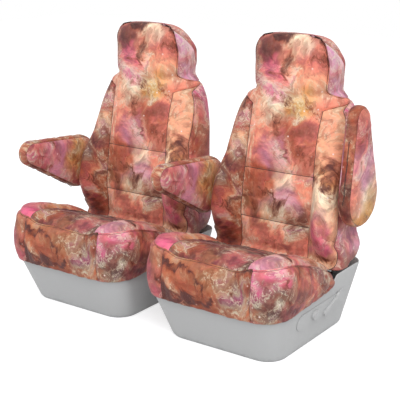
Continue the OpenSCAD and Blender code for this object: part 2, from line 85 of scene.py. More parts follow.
def softNoise(at, size, seed=0):
    # gradient noise from -1 to 1, the same on every run
    q = np.asarray(at, float) / size + 19.7 * (seed + 1)
    cell = np.floor(q).astype(np.int64)
    part = q - cell
    ease = part ** 3 * (part * (part * 6 - 15) + 10)
    total = np.zeros(q.shape[:-1])
    for dx in (0, 1):
        for dy in (0, 1):
            for dz in (0, 1):
                c = cell + np.array([dx, dy, dz])
                h = (c[..., 0] * 73856093) ^ (c[..., 1] * 19349663) ^ (c[..., 2] * 83492791)
                h = h ^ (seed * 9176 + 77)
                h = (h ^ (h >> 13)) * 1274126177 & 0x7FFFFFFF
                h = h ^ (h >> 15)
                g = np.stack([(h >> k & 1023) / 511.5 - 1 for k in (0, 10, 20)], -1)
                d = part - np.array([dx, dy, dz])
                w = ((ease[..., 0] if dx else 1 - ease[..., 0]) * (ease[..., 1] if dy else 1 - ease[..., 1])
                     * (ease[..., 2] if dz else 1 - ease[..., 2]))
                total += w * (g * d).sum(-1)
    return total


def cloudNoise(at, size, seed=0, octaves=3):
    return sum(softNoise(at, size / 2 ** k, seed + 7 * k) / 2 ** k for k in range(octaves))


def gridNormals(p, closed):
    # outward normals of a grid of points, rows by columns
    if closed:
        across = np.roll(p, -1, 1) - np.roll(p, 1, 1)
    else:
        across = np.gradient(p, axis=1)
    along = np.gradient(p, axis=0)
    n = np.cross(across, along)
    return n / np.maximum(np.linalg.norm(n, axis=-1, keepdims=True), 1e-9)


def gridFaces(rows, columns, closed):
    faces = []
    for j in range(rows - 1):
        for i in range(columns if closed else columns - 1):
            k = (i + 1) % columns
            faces.append((j * columns + i, j * columns + k, (j + 1) * columns + k, (j + 1) * columns + i))
    return faces


def lengthAlong(points):
    # running length from the first point, down a line or down each column of a grid
    step = np.linalg.norm(np.diff(points, axis=0), axis=-1)
    return np.concatenate([np.zeros((1,) + step.shape[1:]), np.cumsum(step, axis=0)])


def newObject(name, points, faces):
    mesh = bpy.data.meshes.new(name)
    mesh.from_pydata([tuple(p) for p in points], [], faces)
    mesh.update()
    thing = bpy.data.objects.new(name, mesh)
    scene.collection.objects.link(thing)
    mesh.polygons.foreach_set("use_smooth", [True] * len(mesh.polygons))
    return thing


def cleanUp(thing, apart=0.00015):
    # joins points that lie on each other and drops the faces that collapse
    bm = bmesh.new()
    bm.from_mesh(thing.data)
    bmesh.ops.remove_doubles(bm, verts=bm.verts, dist=apart)
    bmesh.ops.dissolve_degenerate(bm, edges=bm.edges, dist=apart / 3)
    bm.to_mesh(thing.data)
    bm.free()
    thing.data.polygons.foreach_set("use_smooth", [True] * len(thing.data.polygons))


def tubeMesh(name, lines, radius, sides=8):
    # round cords of one thickness along several lines, as one object
    points, faces = [], []
    for line in lines:
        p = np.asarray(line, float)
        ahead = np.gradient(p, axis=0)
        ahead /= np.maximum(np.linalg.norm(ahead, axis=1, keepdims=True), 1e-9)
        up = np.array([0.31, 0.17, 0.93])
        base = len(points)
        for k in range(len(p)):
            a = np.cross(ahead[k], up)
            a /= max(np.linalg.norm(a), 1e-9)
            b = np.cross(ahead[k], a)
            up = -np.cross(ahead[k], a)
            for s in range(sides):
                t = 2 * math.pi * s / sides
                points.append(p[k] + radius * (a * math.cos(t) + b * math.sin(t)))
        for k in range(len(p) - 1):
            for s in range(sides):
                n = (s + 1) % sides
                faces.append((base + k * sides + s, base + (k + 1) * sides + s,
                              base + (k + 1) * sides + n, base + k * sides + n))
        faces.append(tuple(base + s for s in range(sides)))
        faces.append(tuple(base + (len(p) - 1) * sides + s for s in reversed(range(sides))))
    return newObject(name, points, faces)


# camera, floor and light

viewPoint = {"place": (2.1907, -2.9759, 1.5036), "turn": (73.965, 0.0, 35.566), "lens": 87.85}
cameraData = bpy.data.cameras.new("camera")
cameraData.lens = viewPoint["lens"]
cameraData.sensor_width = 36
cameraData.clip_end = 60
camera = bpy.data.objects.new("camera", cameraData)
camera.location = viewPoint["place"]
camera.rotation_euler = [math.radians(a) for a in viewPoint["turn"]]
scene.collection.objects.link(camera)
scene.camera = camera

studio = {"skyStrength": 0.84, "keyPower": 130, "keySize": 2.6, "fillPower": 30, "floorLift": 0.62}


def areaLight(name, power, size, place, target):
    data = bpy.data.lights.new(name, "AREA")
    data.energy = power
    data.size = size
    lamp = bpy.data.objects.new(name, data)
    lamp.location = place
    lamp.rotation_euler = (Vector(target) - Vector(place)).to_track_quat("-Z", "Y").to_euler()
    scene.collection.objects.link(lamp)
    return lamp


areaLight("keyLight", studio["keyPower"], studio["keySize"], (2.4, -2.6, 3.4), (0, 0, 0.5))
areaLight("fillLight", studio["fillPower"], 2.5, (-3.2, -2.2, 2.4), (0, 0, 0.5))


def seenDirectly(tree, path):
    # 1 for sight straight from the camera, or by way of metal or clear plastic
    first = tree.nodes.new("ShaderNodeMath")
    first.operation = "MAXIMUM"
    both = tree.nodes.new("ShaderNodeMath")
    both.operation = "MAXIMUM"
    tree.links.new(path.outputs["Is Camera Ray"], first.inputs[0])
    tree.links.new(path.outputs["Is Glossy Ray"], first.inputs[1])
    tree.links.new(first.outputs[0], both.inputs[0])
    tree.links.new(path.outputs["Is Transmission Ray"], both.inputs[1])
    return both.outputs[0]


world = bpy.data.worlds.new("studioSky")
scene.world = world
world.use_nodes = True
tree = world.node_tree
tree.nodes.clear()
skyOut = tree.nodes.new("ShaderNodeOutputWorld")
skyLight = tree.nodes.new("ShaderNodeBackground")
skyLight.inputs["Color"].default_value = (1, 1, 1, 1)
skyLight.inputs["Strength"].default_value = studio["skyStrength"]
skySeen = tree.nodes.new("ShaderNodeBackground")
skySeen.inputs["Color"].default_value = (1, 1, 1, 1)
skyMix = tree.nodes.new("ShaderNodeMixShader")
skyPath = tree.nodes.new("ShaderNodeLightPath")
tree.links.new(seenDirectly(tree, skyPath), skyMix.inputs[0])
tree.links.new(skyLight.outputs[0], skyMix.inputs[1])
tree.links.new(skySeen.outputs[0], skyMix.inputs[2])
tree.links.new(skyMix.outputs[0], skyOut.inputs["Surface"])

floorMesh = bpy.data.meshes.new("floor")
floorCorners = [(-9, -9, -0.0005), (9, -9, -0.0005), (9, 9, -0.0005), (-9, 9, -0.0005)]
floorMesh.from_pydata(floorCorners, [], [(0, 1, 2, 3)])
floor = bpy.data.objects.new("floor", floorMesh)
scene.collection.objects.link(floor)
floorMaterial = bpy.data.materials.new("floorPaper")
floorMaterial.use_nodes = True
tree = floorMaterial.node_tree
tree.nodes.clear()
paperOut = tree.nodes.new("ShaderNodeOutputMaterial")
paper = tree.nodes.new("ShaderNodeBsdfDiffuse")
paper.inputs["Color"].default_value = (0.60, 0.60, 0.61, 1)
paperGlow = tree.nodes.new("ShaderNodeEmission")
paperGlow.inputs["Strength"].default_value = studio["floorLift"]
paperSum = tree.nodes.new("ShaderNodeAddShader")
paperMix = tree.nodes.new("ShaderNodeMixShader")
paperPath = tree.nodes.new("ShaderNodeLightPath")
tree.links.new(paper.outputs[0], paperSum.inputs[0])
tree.links.new(paperGlow.outputs[0], paperSum.inputs[1])
tree.links.new(seenDirectly(tree, paperPath), paperMix.inputs[0])
tree.links.new(paper.outputs[0], paperMix.inputs[1])
tree.links.new(paperSum.outputs[0], paperMix.inputs[2])
tree.links.new(paperMix.outputs[0], paperOut.inputs["Surface"])
floorMesh.materials.append(floorMaterial)
print("stage ready")


# materials

class NodeTree:
    # a thin helper that adds nodes to one material and joins them
    def __init__(self, name):
        self.material = bpy.data.materials.new(name)
        self.material.use_nodes = True
        self.tree = self.material.node_tree
        self.tree.nodes.clear()
        self.out = self.tree.nodes.new("ShaderNodeOutputMaterial")
        self.shader = self.add("ShaderNodeBsdfPrincipled")
        self.join(self.shader.outputs[0], self.out.inputs["Surface"])

    def add(self, kind, **values):
        node = self.tree.nodes.new(kind)
        for key, value in values.items():
            if key.startswith("in_"):
                node.inputs[key[3:].replace("_", " ")].default_value = value
            else:
                setattr(node, key, value)
        return node

    def join(self, a, b):
        self.tree.links.new(a, b)

    def dress(self, colour, roughness, relief):
        # a fixed value or a socket for the roughness, sockets for the other two
        self.join(colour, self.shader.inputs["Base Color"])
        if isinstance(roughness, float):
            self.shader.inputs["Roughness"].default_value = roughness
        else:
            self.join(roughness, self.shader.inputs["Roughness"])
        self.join(relief, self.shader.inputs["Normal"])

    def wave(self, where, direction, scale, warp=0.0):
        node = self.add("ShaderNodeTexWave", bands_direction=direction, in_Scale=scale, in_Distortion=warp)
        self.join(where, node.inputs["Vector"])
        return node.outputs["Fac"]

    def noise(self, where, scale, detail=6.0, rough=0.55, warp=0.0):
        node = self.add("ShaderNodeTexNoise", in_Scale=scale, in_Detail=detail,
                        in_Roughness=rough, in_Distortion=warp)
        self.join(where, node.inputs["Vector"])
        return node

    def math(self, how, *values):
        node = self.add("ShaderNodeMath", operation=how)
        for i, v in enumerate(values):
            if isinstance(v, (int, float)):
                node.inputs[i].default_value = v
            else:
                self.join(v, node.inputs[i])
        return node.outputs[0]

    def range(self, value, low, high, a=0.0, b=1.0):
        node = self.add("ShaderNodeMapRange", interpolation_type="SMOOTHSTEP")
        self.join(value, node.inputs["Value"])
        for key, v in (("From Min", low), ("From Max", high), ("To Min", a), ("To Max", b)):
            node.inputs[key].default_value = v
        return node.outputs["Result"]

    def mix(self, amount, a, b, how="MIX"):
        node = self.add("ShaderNodeMix", data_type="RGBA", blend_type=how)
        for socket, v in ((node.inputs[0], amount), (node.inputs[6], a), (node.inputs[7], b)):
            if isinstance(v, (int, float)):
                socket.default_value = v
            elif isinstance(v, tuple):
                socket.default_value = (*v, 1)
            else:
                self.join(v, socket)
        return node.outputs[2]

    def ramp(self, value, stops):
        node = self.add("ShaderNodeValToRGB")
        line = node.color_ramp
        while len(line.elements) < len(stops):
            line.elements.new(0.5)
        for e, (at, colour) in zip(line.elements, stops):
            e.position = at
            e.color = (*colour, 1)
        self.join(value, node.inputs[0])
        return node.outputs[0]

    def bump(self, height, distance, strength=1.0, below=None):
        node = self.add("ShaderNodeBump", in_Distance=distance, in_Strength=strength)
        self.join(height, node.inputs["Height"])
        if below is not None:
            self.join(below, node.inputs["Normal"])
        return node.outputs[0]


printCloth = {
    "rose": (0.52, 0.16, 0.19), "salmon": (0.76, 0.32, 0.24), "peach": (0.86, 0.50, 0.34),
    "cream": (0.94, 0.85, 0.68),
    "maroon": (0.150, 0.035, 0.035), "rust": (0.42, 0.125, 0.055), "mustard": (0.64, 0.38, 0.085),
    "hotPink": (0.78, 0.19, 0.36), "lilac": (0.68, 0.38, 0.50), "tan": (0.46, 0.22, 0.115),
    "soot": (0.06, 0.018, 0.012),
    "depth": 1.50, "dye": (0.83, 0.88, 0.90), "roughness": 0.58, "sheen": 0.08, "knit": 0.00022,
}


def makePrintCloth():
    c = printCloth
    m = NodeTree("marbledPrintCloth")
    place = m.add("ShaderNodeAttribute", attribute_name="printAt").outputs["Vector"]
    tone = m.add("ShaderNodeAttribute", attribute_name="tone").outputs["Color"]
    broad = m.noise(place, 5.0, 7, 0.58, 1.2)
    bend = m.add("ShaderNodeVectorMath", operation="MULTIPLY_ADD")
    m.join(broad.outputs["Color"], bend.inputs[0])
    bend.inputs[1].default_value = (0.16, 0.16, 0.16)
    m.join(place, bend.inputs[2])
    bent = bend.outputs[0]
    cloud = m.noise(bent, 8.0, 9, 0.58, 0.7).outputs["Fac"]
    feather = m.noise(bent, 12.0, 10, 0.60, 1.6).outputs["Fac"]
    grain = m.noise(place, 60.0, 6, 0.7, 0.3).outputs["Fac"]
    drift = m.noise(bent, 6.5, 7, 0.60, 1.0).outputs["Fac"]
    darkField = m.noise(bent, 6.0, 9, 0.60, 1.2).outputs["Fac"]
    # swirls of the print's own colours, laid over each panel's tone
    swirl = m.ramp(drift, [(0.30, c["maroon"]), (0.40, c["rose"]), (0.46, c["salmon"]), (0.52, c["peach"]),
                           (0.585, c["cream"]), (0.65, c["lilac"]), (0.72, c["hotPink"])])
    colour = m.mix(m.range(cloud, 0.34, 0.66, 0.08, 0.50), tone, swirl)
    shade = m.add("ShaderNodeVectorMath", operation="SCALE")
    m.join(colour, shade.inputs[0])
    m.join(m.range(feather, 0.30, 0.70, 0.80, 1.28), shade.inputs["Scale"])
    colour = shade.outputs[0]
    # pale feathered veins, where two sheets of noise meet
    vein = m.math("ABSOLUTE", m.math("SUBTRACT", feather, 0.5))
    veinMask = m.math("MULTIPLY", m.range(vein, 0.0, 0.030, 1, 0), m.range(drift, 0.44, 0.60, 0, 0.60))
    colour = m.mix(veinMask, colour, c["cream"])
    # dark clouds with a rust hem
    colour = m.mix(m.range(darkField, 0.54, 0.64, 0, 0.55), colour, c["rust"])
    colour = m.mix(m.range(darkField, 0.59, 0.70, 0, 0.85), colour, c["maroon"])
    # fine fractures
    crackle = m.add("ShaderNodeTexVoronoi", feature="DISTANCE_TO_EDGE", in_Scale=7.0)
    m.join(bent, crackle.inputs["Vector"])
    crackMask = m.math("MULTIPLY", m.range(crackle.outputs["Distance"], 0.0, 0.022, 1, 0),
                       m.range(darkField, 0.52, 0.60, 0, 0.40))
    colour = m.mix(crackMask, colour, c["soot"])
    # small bright specks
    specks = m.add("ShaderNodeTexVoronoi", feature="F1", in_Scale=38.0)
    m.join(place, specks.inputs["Vector"])
    pick = m.add("ShaderNodeSeparateColor")
    m.join(specks.outputs["Color"], pick.inputs[0])
    speckMask = m.math("MULTIPLY", m.range(specks.outputs["Distance"], 0.04, 0.20, 1, 0),
                       m.range(broad.outputs["Fac"], 0.46, 0.56, 0, 0.95))
    speckMask = m.math("MULTIPLY", speckMask, m.range(pick.outputs[0], 0.62, 0.78))
    colour = m.mix(speckMask, colour, (1.0, 0.84, 0.80))
    colour = m.mix(m.range(grain, 0.42, 0.72, 0, 0.25), colour, m.mix(0.4, colour, c["cream"]))
    deep = m.add("ShaderNodeGamma", in_Gamma=c["depth"])
    m.join(colour, deep.inputs["Color"])
    dyed = m.mix(1.0, deep.outputs[0], c["dye"], "MULTIPLY")
    # knit: two crossing rows of loops
    knit = m.math("ADD", m.wave(place, "DIAGONAL", 260.0, 0.6), m.wave(place, "Z", 300.0, 0.4))
    fine = m.bump(knit, c["knit"], 0.5)
    rough = m.range(grain, 0.3, 0.7, c["roughness"] - 0.06, c["roughness"] + 0.1)
    m.dress(dyed, rough, m.bump(grain, 0.0006, 0.4, fine))
    m.shader.inputs["Sheen Weight"].default_value = c["sheen"]
    m.shader.inputs["Sheen Roughness"].default_value = 0.4
    m.shader.inputs["Specular IOR Level"].default_value = 0.32
    return m.material


def makeThread():
    m = NodeTree("brownThread")
    where = m.add("ShaderNodeTexCoord").outputs["Object"]
    twist = m.wave(where, "DIAGONAL", 700.0)
    shade = m.ramp(twist, [(0, (0.016, 0.008, 0.007)), (1, (0.050, 0.026, 0.022))])
    m.dress(shade, 0.7, m.bump(twist, 0.0002))
    return m.material


shellColour = (0.47, 0.475, 0.475)


def makeShellPlastic():
    m = NodeTree("greyShellPlastic")
    where = m.add("ShaderNodeTexCoord").outputs["Object"]
    grain = m.noise(where, 900.0, 3, 0.6).outputs["Fac"]
    wash = m.noise(where, 5.0, 4, 0.5).outputs["Fac"]
    scuff = m.noise(where, 38.0, 8, 0.7, 0.4).outputs["Fac"]
    base = m.mix(m.range(wash, 0.3, 0.7, 0, 0.10), shellColour, tuple(v * 0.86 for v in shellColour))
    height = m.add("ShaderNodeSeparateXYZ")
    m.join(where, height.inputs[0])
    # darker towards the bottom of the tub, in patches
    lowDarkening = m.math("MULTIPLY", m.range(height.outputs[2], 0.0, 0.03, 0.35, 0.0), m.range(scuff, 0.4, 0.7))
    base = m.mix(lowDarkening, base, tuple(v * 0.55 for v in shellColour))
    m.dress(base, m.range(scuff, 0.35, 0.7, 0.52, 0.66), m.bump(grain, 0.0003, 0.35))
    m.shader.inputs["Specular IOR Level"].default_value = 0.35
    return m.material


def makeBlackWeb():
    m = NodeTree("blackWebbing")
    where = m.add("ShaderNodeTexCoord").outputs["Object"]
    weave = m.math("MULTIPLY", m.wave(where, "Y", 240.0), m.wave(where, "X", 240.0))
    shade = m.ramp(weave, [(0, (0.014, 0.014, 0.015)), (1, (0.05, 0.05, 0.053))])
    m.dress(shade, 0.85, m.bump(weave, 0.0004))
    return m.material


def makeBlackPlastic():
    m = NodeTree("blackMouldedPlastic")
    where = m.add("ShaderNodeTexCoord").outputs["Object"]
    grain = m.noise(where, 700.0, 3, 0.6).outputs["Fac"]
    shade = m.ramp(grain, [(0.3, (0.022, 0.022, 0.024)), (0.7, (0.045, 0.045, 0.048))])
    m.dress(shade, 0.5, m.bump(grain, 0.0002, 0.5))
    return m.material


def makePaintedSteel():
    m = NodeTree("blackPaintedSteel")
    where = m.add("ShaderNodeTexCoord").outputs["Object"]
    peel = m.noise(where, 260.0, 3, 0.5).outputs["Fac"]
    wear = m.noise(where, 30.0, 9, 0.72, 0.5).outputs["Fac"]
    worn = m.range(wear, 0.66, 0.74)
    shade = m.mix(worn, (0.035, 0.036, 0.038), (0.20, 0.19, 0.18))
    m.dress(shade, m.range(wear, 0.3, 0.7, 0.38, 0.56), m.bump(peel, 0.0003, 0.4))
    return m.material


def makeZincSteel():
    m = NodeTree("zincPlatedSteel")
    where = m.add("ShaderNodeTexCoord").outputs["Object"]
    brush = m.noise(where, 400.0, 4, 0.6, 0.2).outputs["Fac"]
    stain = m.noise(where, 24.0, 6, 0.6).outputs["Fac"]
    shade = m.mix(m.range(stain, 0.4, 0.7, 0, 0.5), (0.60, 0.61, 0.64), (0.50, 0.47, 0.38))
    m.dress(shade, m.range(brush, 0.3, 0.7, 0.28, 0.44), m.bump(brush, 0.0001, 0.4))
    m.shader.inputs["Metallic"].default_value = 1.0
    return m.material


def makeFoam():
    m = NodeTree("cutFoam")
    where = m.add("ShaderNodeTexCoord").outputs["Object"]
    cells = m.add("ShaderNodeTexVoronoi", feature="F1", in_Scale=420.0)
    m.join(where, cells.inputs["Vector"])
    wash = m.noise(where, 9.0, 5, 0.6).outputs["Fac"]
    cream = m.mix(m.range(wash, 0.3, 0.7), (0.78, 0.70, 0.50), (0.70, 0.60, 0.38))
    shade = m.mix(m.range(cells.outputs["Distance"], 0.1, 0.6, 0, 0.3), cream, (0.50, 0.42, 0.26))
    m.dress(shade, 0.9, m.bump(cells.outputs["Distance"], 0.0008, 0.6))
    return m.material


clothMaterial = makePrintCloth()
threadMaterial = makeThread()
shellMaterial = makeShellPlastic()
finishFor = {"printed_cloth": clothMaterial, "foam": makeFoam(), "base_plastic": shellMaterial,
             "frame_steel": makePaintedSteel(), "zinc_steel": makeZincSteel(),
             "webbing": makeBlackWeb(), "black_plastic": makeBlackPlastic()}
print("materials ready")


# the print's broad colours

def paintTone(at, spots, base, seed):
    # soft blots of colour over a ground, their edges broken up by noise
    at = np.asarray(at, float)
    drift = np.stack([cloudNoise(at, 0.11, seed + 3 * k) for k in range(3)], -1) * 0.070
    fine = np.stack([cloudNoise(at, 0.035, seed + 31 + 3 * k) for k in range(3)], -1) * 0.024
    q = at + drift + fine
    ground = np.array(printCloth[base])
    total = np.full(q.shape[:-1] + (1,), 0.22)
    colour = ground * total
    for x, y, z, r, name in spots:
        d = np.linalg.norm((q - np.array([x, y, z])) / r, axis=-1)
        w = np.exp(-(d ** 3) * 1.2)[..., None] * 1.4
        colour = colour + w * np.array(printCloth[name])
        total = total + w
    return colour / total


def paintPrint(thing, panelSpots, shift):
    # writes the tone and the print's place to each face corner; each panel is cut from
    # another part of the roll, so the print is shifted from one to the next
    mesh = thing.data
    panel = np.zeros(len(mesh.polygons), np.int32)
    mesh.attributes["panel"].data.foreach_get("value", panel)
    loops = np.zeros(len(mesh.loops), np.int32)
    mesh.loops.foreach_get("vertex_index", loops)
    co = np.zeros(len(mesh.vertices) * 3)
    mesh.vertices.foreach_get("co", co)
    co = co.reshape(-1, 3)
    totals = np.zeros(len(mesh.polygons), np.int32)
    mesh.polygons.foreach_get("loop_total", totals)
    loopPanel = np.repeat(panel, totals)
    where = co[loops]
    tone = np.ones((len(loops), 4), np.float32)
    place = np.zeros((len(loops), 3), np.float32)
    for key in np.unique(loopPanel):
        mine = loopPanel == key
        used, back = np.unique(loops[mine], return_inverse=True)
        spots, base, seed = panelSpots[int(key)]
        tone[mine, :3] = paintTone(co[used], spots, base, seed)[back]
        place[mine] = where[mine] + np.array([0.37, 0.53, 0.71]) * (key + 1) + np.array(shift)
    mesh.attributes.new("tone", "FLOAT_COLOR", "CORNER").data.foreach_set("color", tone.ravel())
    mesh.attributes.new("printAt", "FLOAT_VECTOR", "CORNER").data.foreach_set("vector", place.ravel())


def setPanels(thing, values):
    data = thing.data.attributes.new("panel", "INT", "FACE").data
    data.foreach_set("value", np.asarray(values, np.int32))


def sewnRise(gap, puff, sink, reach):
    # how far cloth stands out, by its distance from a seam: sunk on the seam, full away from it
    return puff * (1 - np.exp(-(gap / reach) ** 1.3)) - sink * np.exp(-(gap / 0.0035) ** 2)


def clothPuff(name, p, held, cloth, capped=False):
    # blows the cover up from inside with Blender's Cloth, on every second or third row and column,
    # held at its seams; gives back the points moved by what the cloth did, no further than the cap
    rows = np.unique(np.concatenate([np.arange(0, len(p), cloth["every"]), [len(p) - 1]]))
    columns = np.arange(0, p.shape[1], cloth["every"])
    coarse = p[np.ix_(rows, columns)]
    width = coarse.shape[1]
    faces = gridFaces(len(rows), width, True)
    if capped:
        faces += [tuple(reversed(range(width))), tuple((len(rows) - 1) * width + i for i in range(width))]
    sheet = newObject(name, coarse.reshape(-1, 3), faces)
    fixNormals(sheet)
    group = sheet.vertex_groups.new(name="sewn")
    near = held.astype(float)
    for shift in (-1, 1):
        near = np.maximum(near, np.roll(held, shift, 1))
        near[1:-1] = np.maximum(near[1:-1], held[1 + shift:len(p) - 1 + shift])
    for k, weight in enumerate(near[np.ix_(rows, columns)].ravel()):
        group.add([k], float(weight), "REPLACE")
    work = sheet.modifiers.new("cloth", "CLOTH")
    work.settings.quality = 6
    work.settings.mass = 0.25
    work.settings.tension_stiffness = cloth["stretch"]
    work.settings.compression_stiffness = cloth["stretch"]
    work.settings.shear_stiffness = 4
    work.settings.bending_stiffness = 0.3
    work.settings.vertex_group_mass = "sewn"
    work.settings.use_pressure = True
    work.settings.uniform_pressure_force = cloth["pressure"]
    work.settings.effector_weights.gravity = 0
    work.settings.shrink_min = -cloth["ease"]
    work.point_cache.frame_start = 1
    work.point_cache.frame_end = cloth["frames"]
    for moment in range(1, cloth["frames"] + 1):
        scene.frame_set(moment)
    settled = sheet.evaluated_get(bpy.context.evaluated_depsgraph_get()).to_mesh()
    now = np.zeros(len(settled.vertices) * 3)
    settled.vertices.foreach_get("co", now)
    move = now.reshape(coarse.shape) - coarse
    bpy.data.objects.remove(sheet)
    scene.frame_set(1)
    far = np.linalg.norm(move, axis=-1, keepdims=True)
    move *= np.minimum(1, cloth["cap"] / np.maximum(far, 1e-9))
    print(name, "cloth moved by up to", round(float(far.max()) * 1000, 1), "mm, kept to", cloth["cap"] * 1000)
    # spread the coarse movement back over the fine grid
    wide = np.concatenate([move, move[:, :1]], 1)
    stops = np.append(columns, p.shape[1])
    full = np.stack([np.stack([np.interp(np.arange(p.shape[1]), stops, wide[j, :, k]) for k in range(3)], -1)
                     for j in range(len(rows))])
    return p + np.stack([np.stack([np.interp(np.arange(len(p)), rows, full[:, i, k]) for k in range(3)], -1)
                         for i in range(p.shape[1])], 1)


def fixNormals(thing):
    bm = bmesh.new()
    bm.from_mesh(thing.data)
    bmesh.ops.recalc_face_normals(bm, faces=bm.faces)
    bm.to_mesh(thing.data)
    bm.free()


# grey base

baseShell = {"halfWidth": 0.242, "front": 0.193, "rear": 0.350, "flareFront": 0.079, "flareRear": 0.058,
             "flareSide": 0.046, "rimLow": 0.200, "rimHigh": 0.240, "corner": 0.080, "wall": 0.004,
             "rim": [(-0.40, 0.200), (0.138, 0.200), (0.168, 0.243), (0.30, 0.245), (0.36, 0.240),
                     (0.45, 0.240)]}


def roundedLoop(halfWidth, y0, y1, rf, rr, counts):
    # rounded rectangle, from the left end of its front edge towards +x; points are spaced
    # evenly within each stretch
    nFront, nCorner, nSide, nRearCorner, nRear = counts
    def line(a, b, n):
        t = np.arange(n)[:, None] / n
        return np.array(a) * (1 - t) + np.array(b) * t
    def arc(cx, cy, r, a0, n):
        a = np.radians(a0 + 90 * np.arange(n) / n)
        return np.stack([cx + r * np.cos(a), cy + r * np.sin(a)], -1)
    w = halfWidth
    return np.concatenate([
        line((-w + rf, y0), (w - rf, y0), nFront), arc(w - rf, y0 + rf, rf, -90, nCorner),
        line((w, y0 + rf), (w, y1 - rr), nSide), arc(w - rr, y1 - rr, rr, 0, nRearCorner),
        line((w - rr, y1), (-w + rr, y1), nRear), arc(-w + rr, y1 - rr, rr, 90, nRearCorner),
        line((-w, y1 - rr), (-w, y0 + rf), nSide), arc(-w + rf, y0 + rf, rf, 180, nCorner)])


def baseRing(z, inset):
    b = baseShell
    foot = 0.0045 * (1 - smoothStep(z / 0.009))
    g = inset + foot
    return roundedLoop(b["halfWidth"] + b["flareSide"] * z / b["rimHigh"] - g,
                       -b["front"] - b["flareFront"] * z / b["rimLow"] + g,
                       b["rear"] + b["flareRear"] * z / b["rimHigh"] - g,
                       b["corner"] - g, b["corner"] - g, (40, 18, 120, 18, 40))


def makeBase(side):
    b = baseShell
    rows = []
    outer = [(0, 0.003), (0, 0), (0.004, 0), (0.010, 0)] + [(u, 0) for u in np.linspace(0.03, 0.965, 26)]
    lip = [(0.985, 0.0006), (0.996, 0.0016), (1.0, 0.003), (0.996, b["wall"]), (0.98, b["wall"] + 0.0006)]
    inner = [(u, b["wall"] + 0.001) for u in np.linspace(0.95, 0.02, 14)]
    for u, g in outer + lip + inner:
        guide = baseRing(u * b["rimLow"], g)
        rim = readCurve(b["rim"], guide[:, 1])
        z = u * rim
        ring = np.zeros((len(guide), 3))
        ring[:, 2] = z
        levels = np.unique(np.round(z, 4))
        plans = {v: baseRing(v, g) for v in levels}
        for k in range(len(guide)):
            ring[k, :2] = plans[round(float(z[k]), 4)][k]
        rows.append(ring)
    p = np.array(rows)
    p[0, :, 2] = 0.001
    p[-1, :, 2] = np.maximum(p[-1, :, 2], 0.003)
    n = p.shape[1]
    faces = gridFaces(len(p), n, True)
    last = (len(p) - 1) * n
    faces += [(last + i, last + (i + 1) % n, (i + 1) % n, i) for i in range(n)]
    shell = newObject(side + "_base_tub", p.reshape(-1, 3) + seatAt[side], faces)
    shell.data.materials.append(shellMaterial)
    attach(shell, "seats")
    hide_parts(side + "_base_shell")
    return shell


for side in ("left", "right"):
    makeBase(side)
print("bases ready")


# cushion

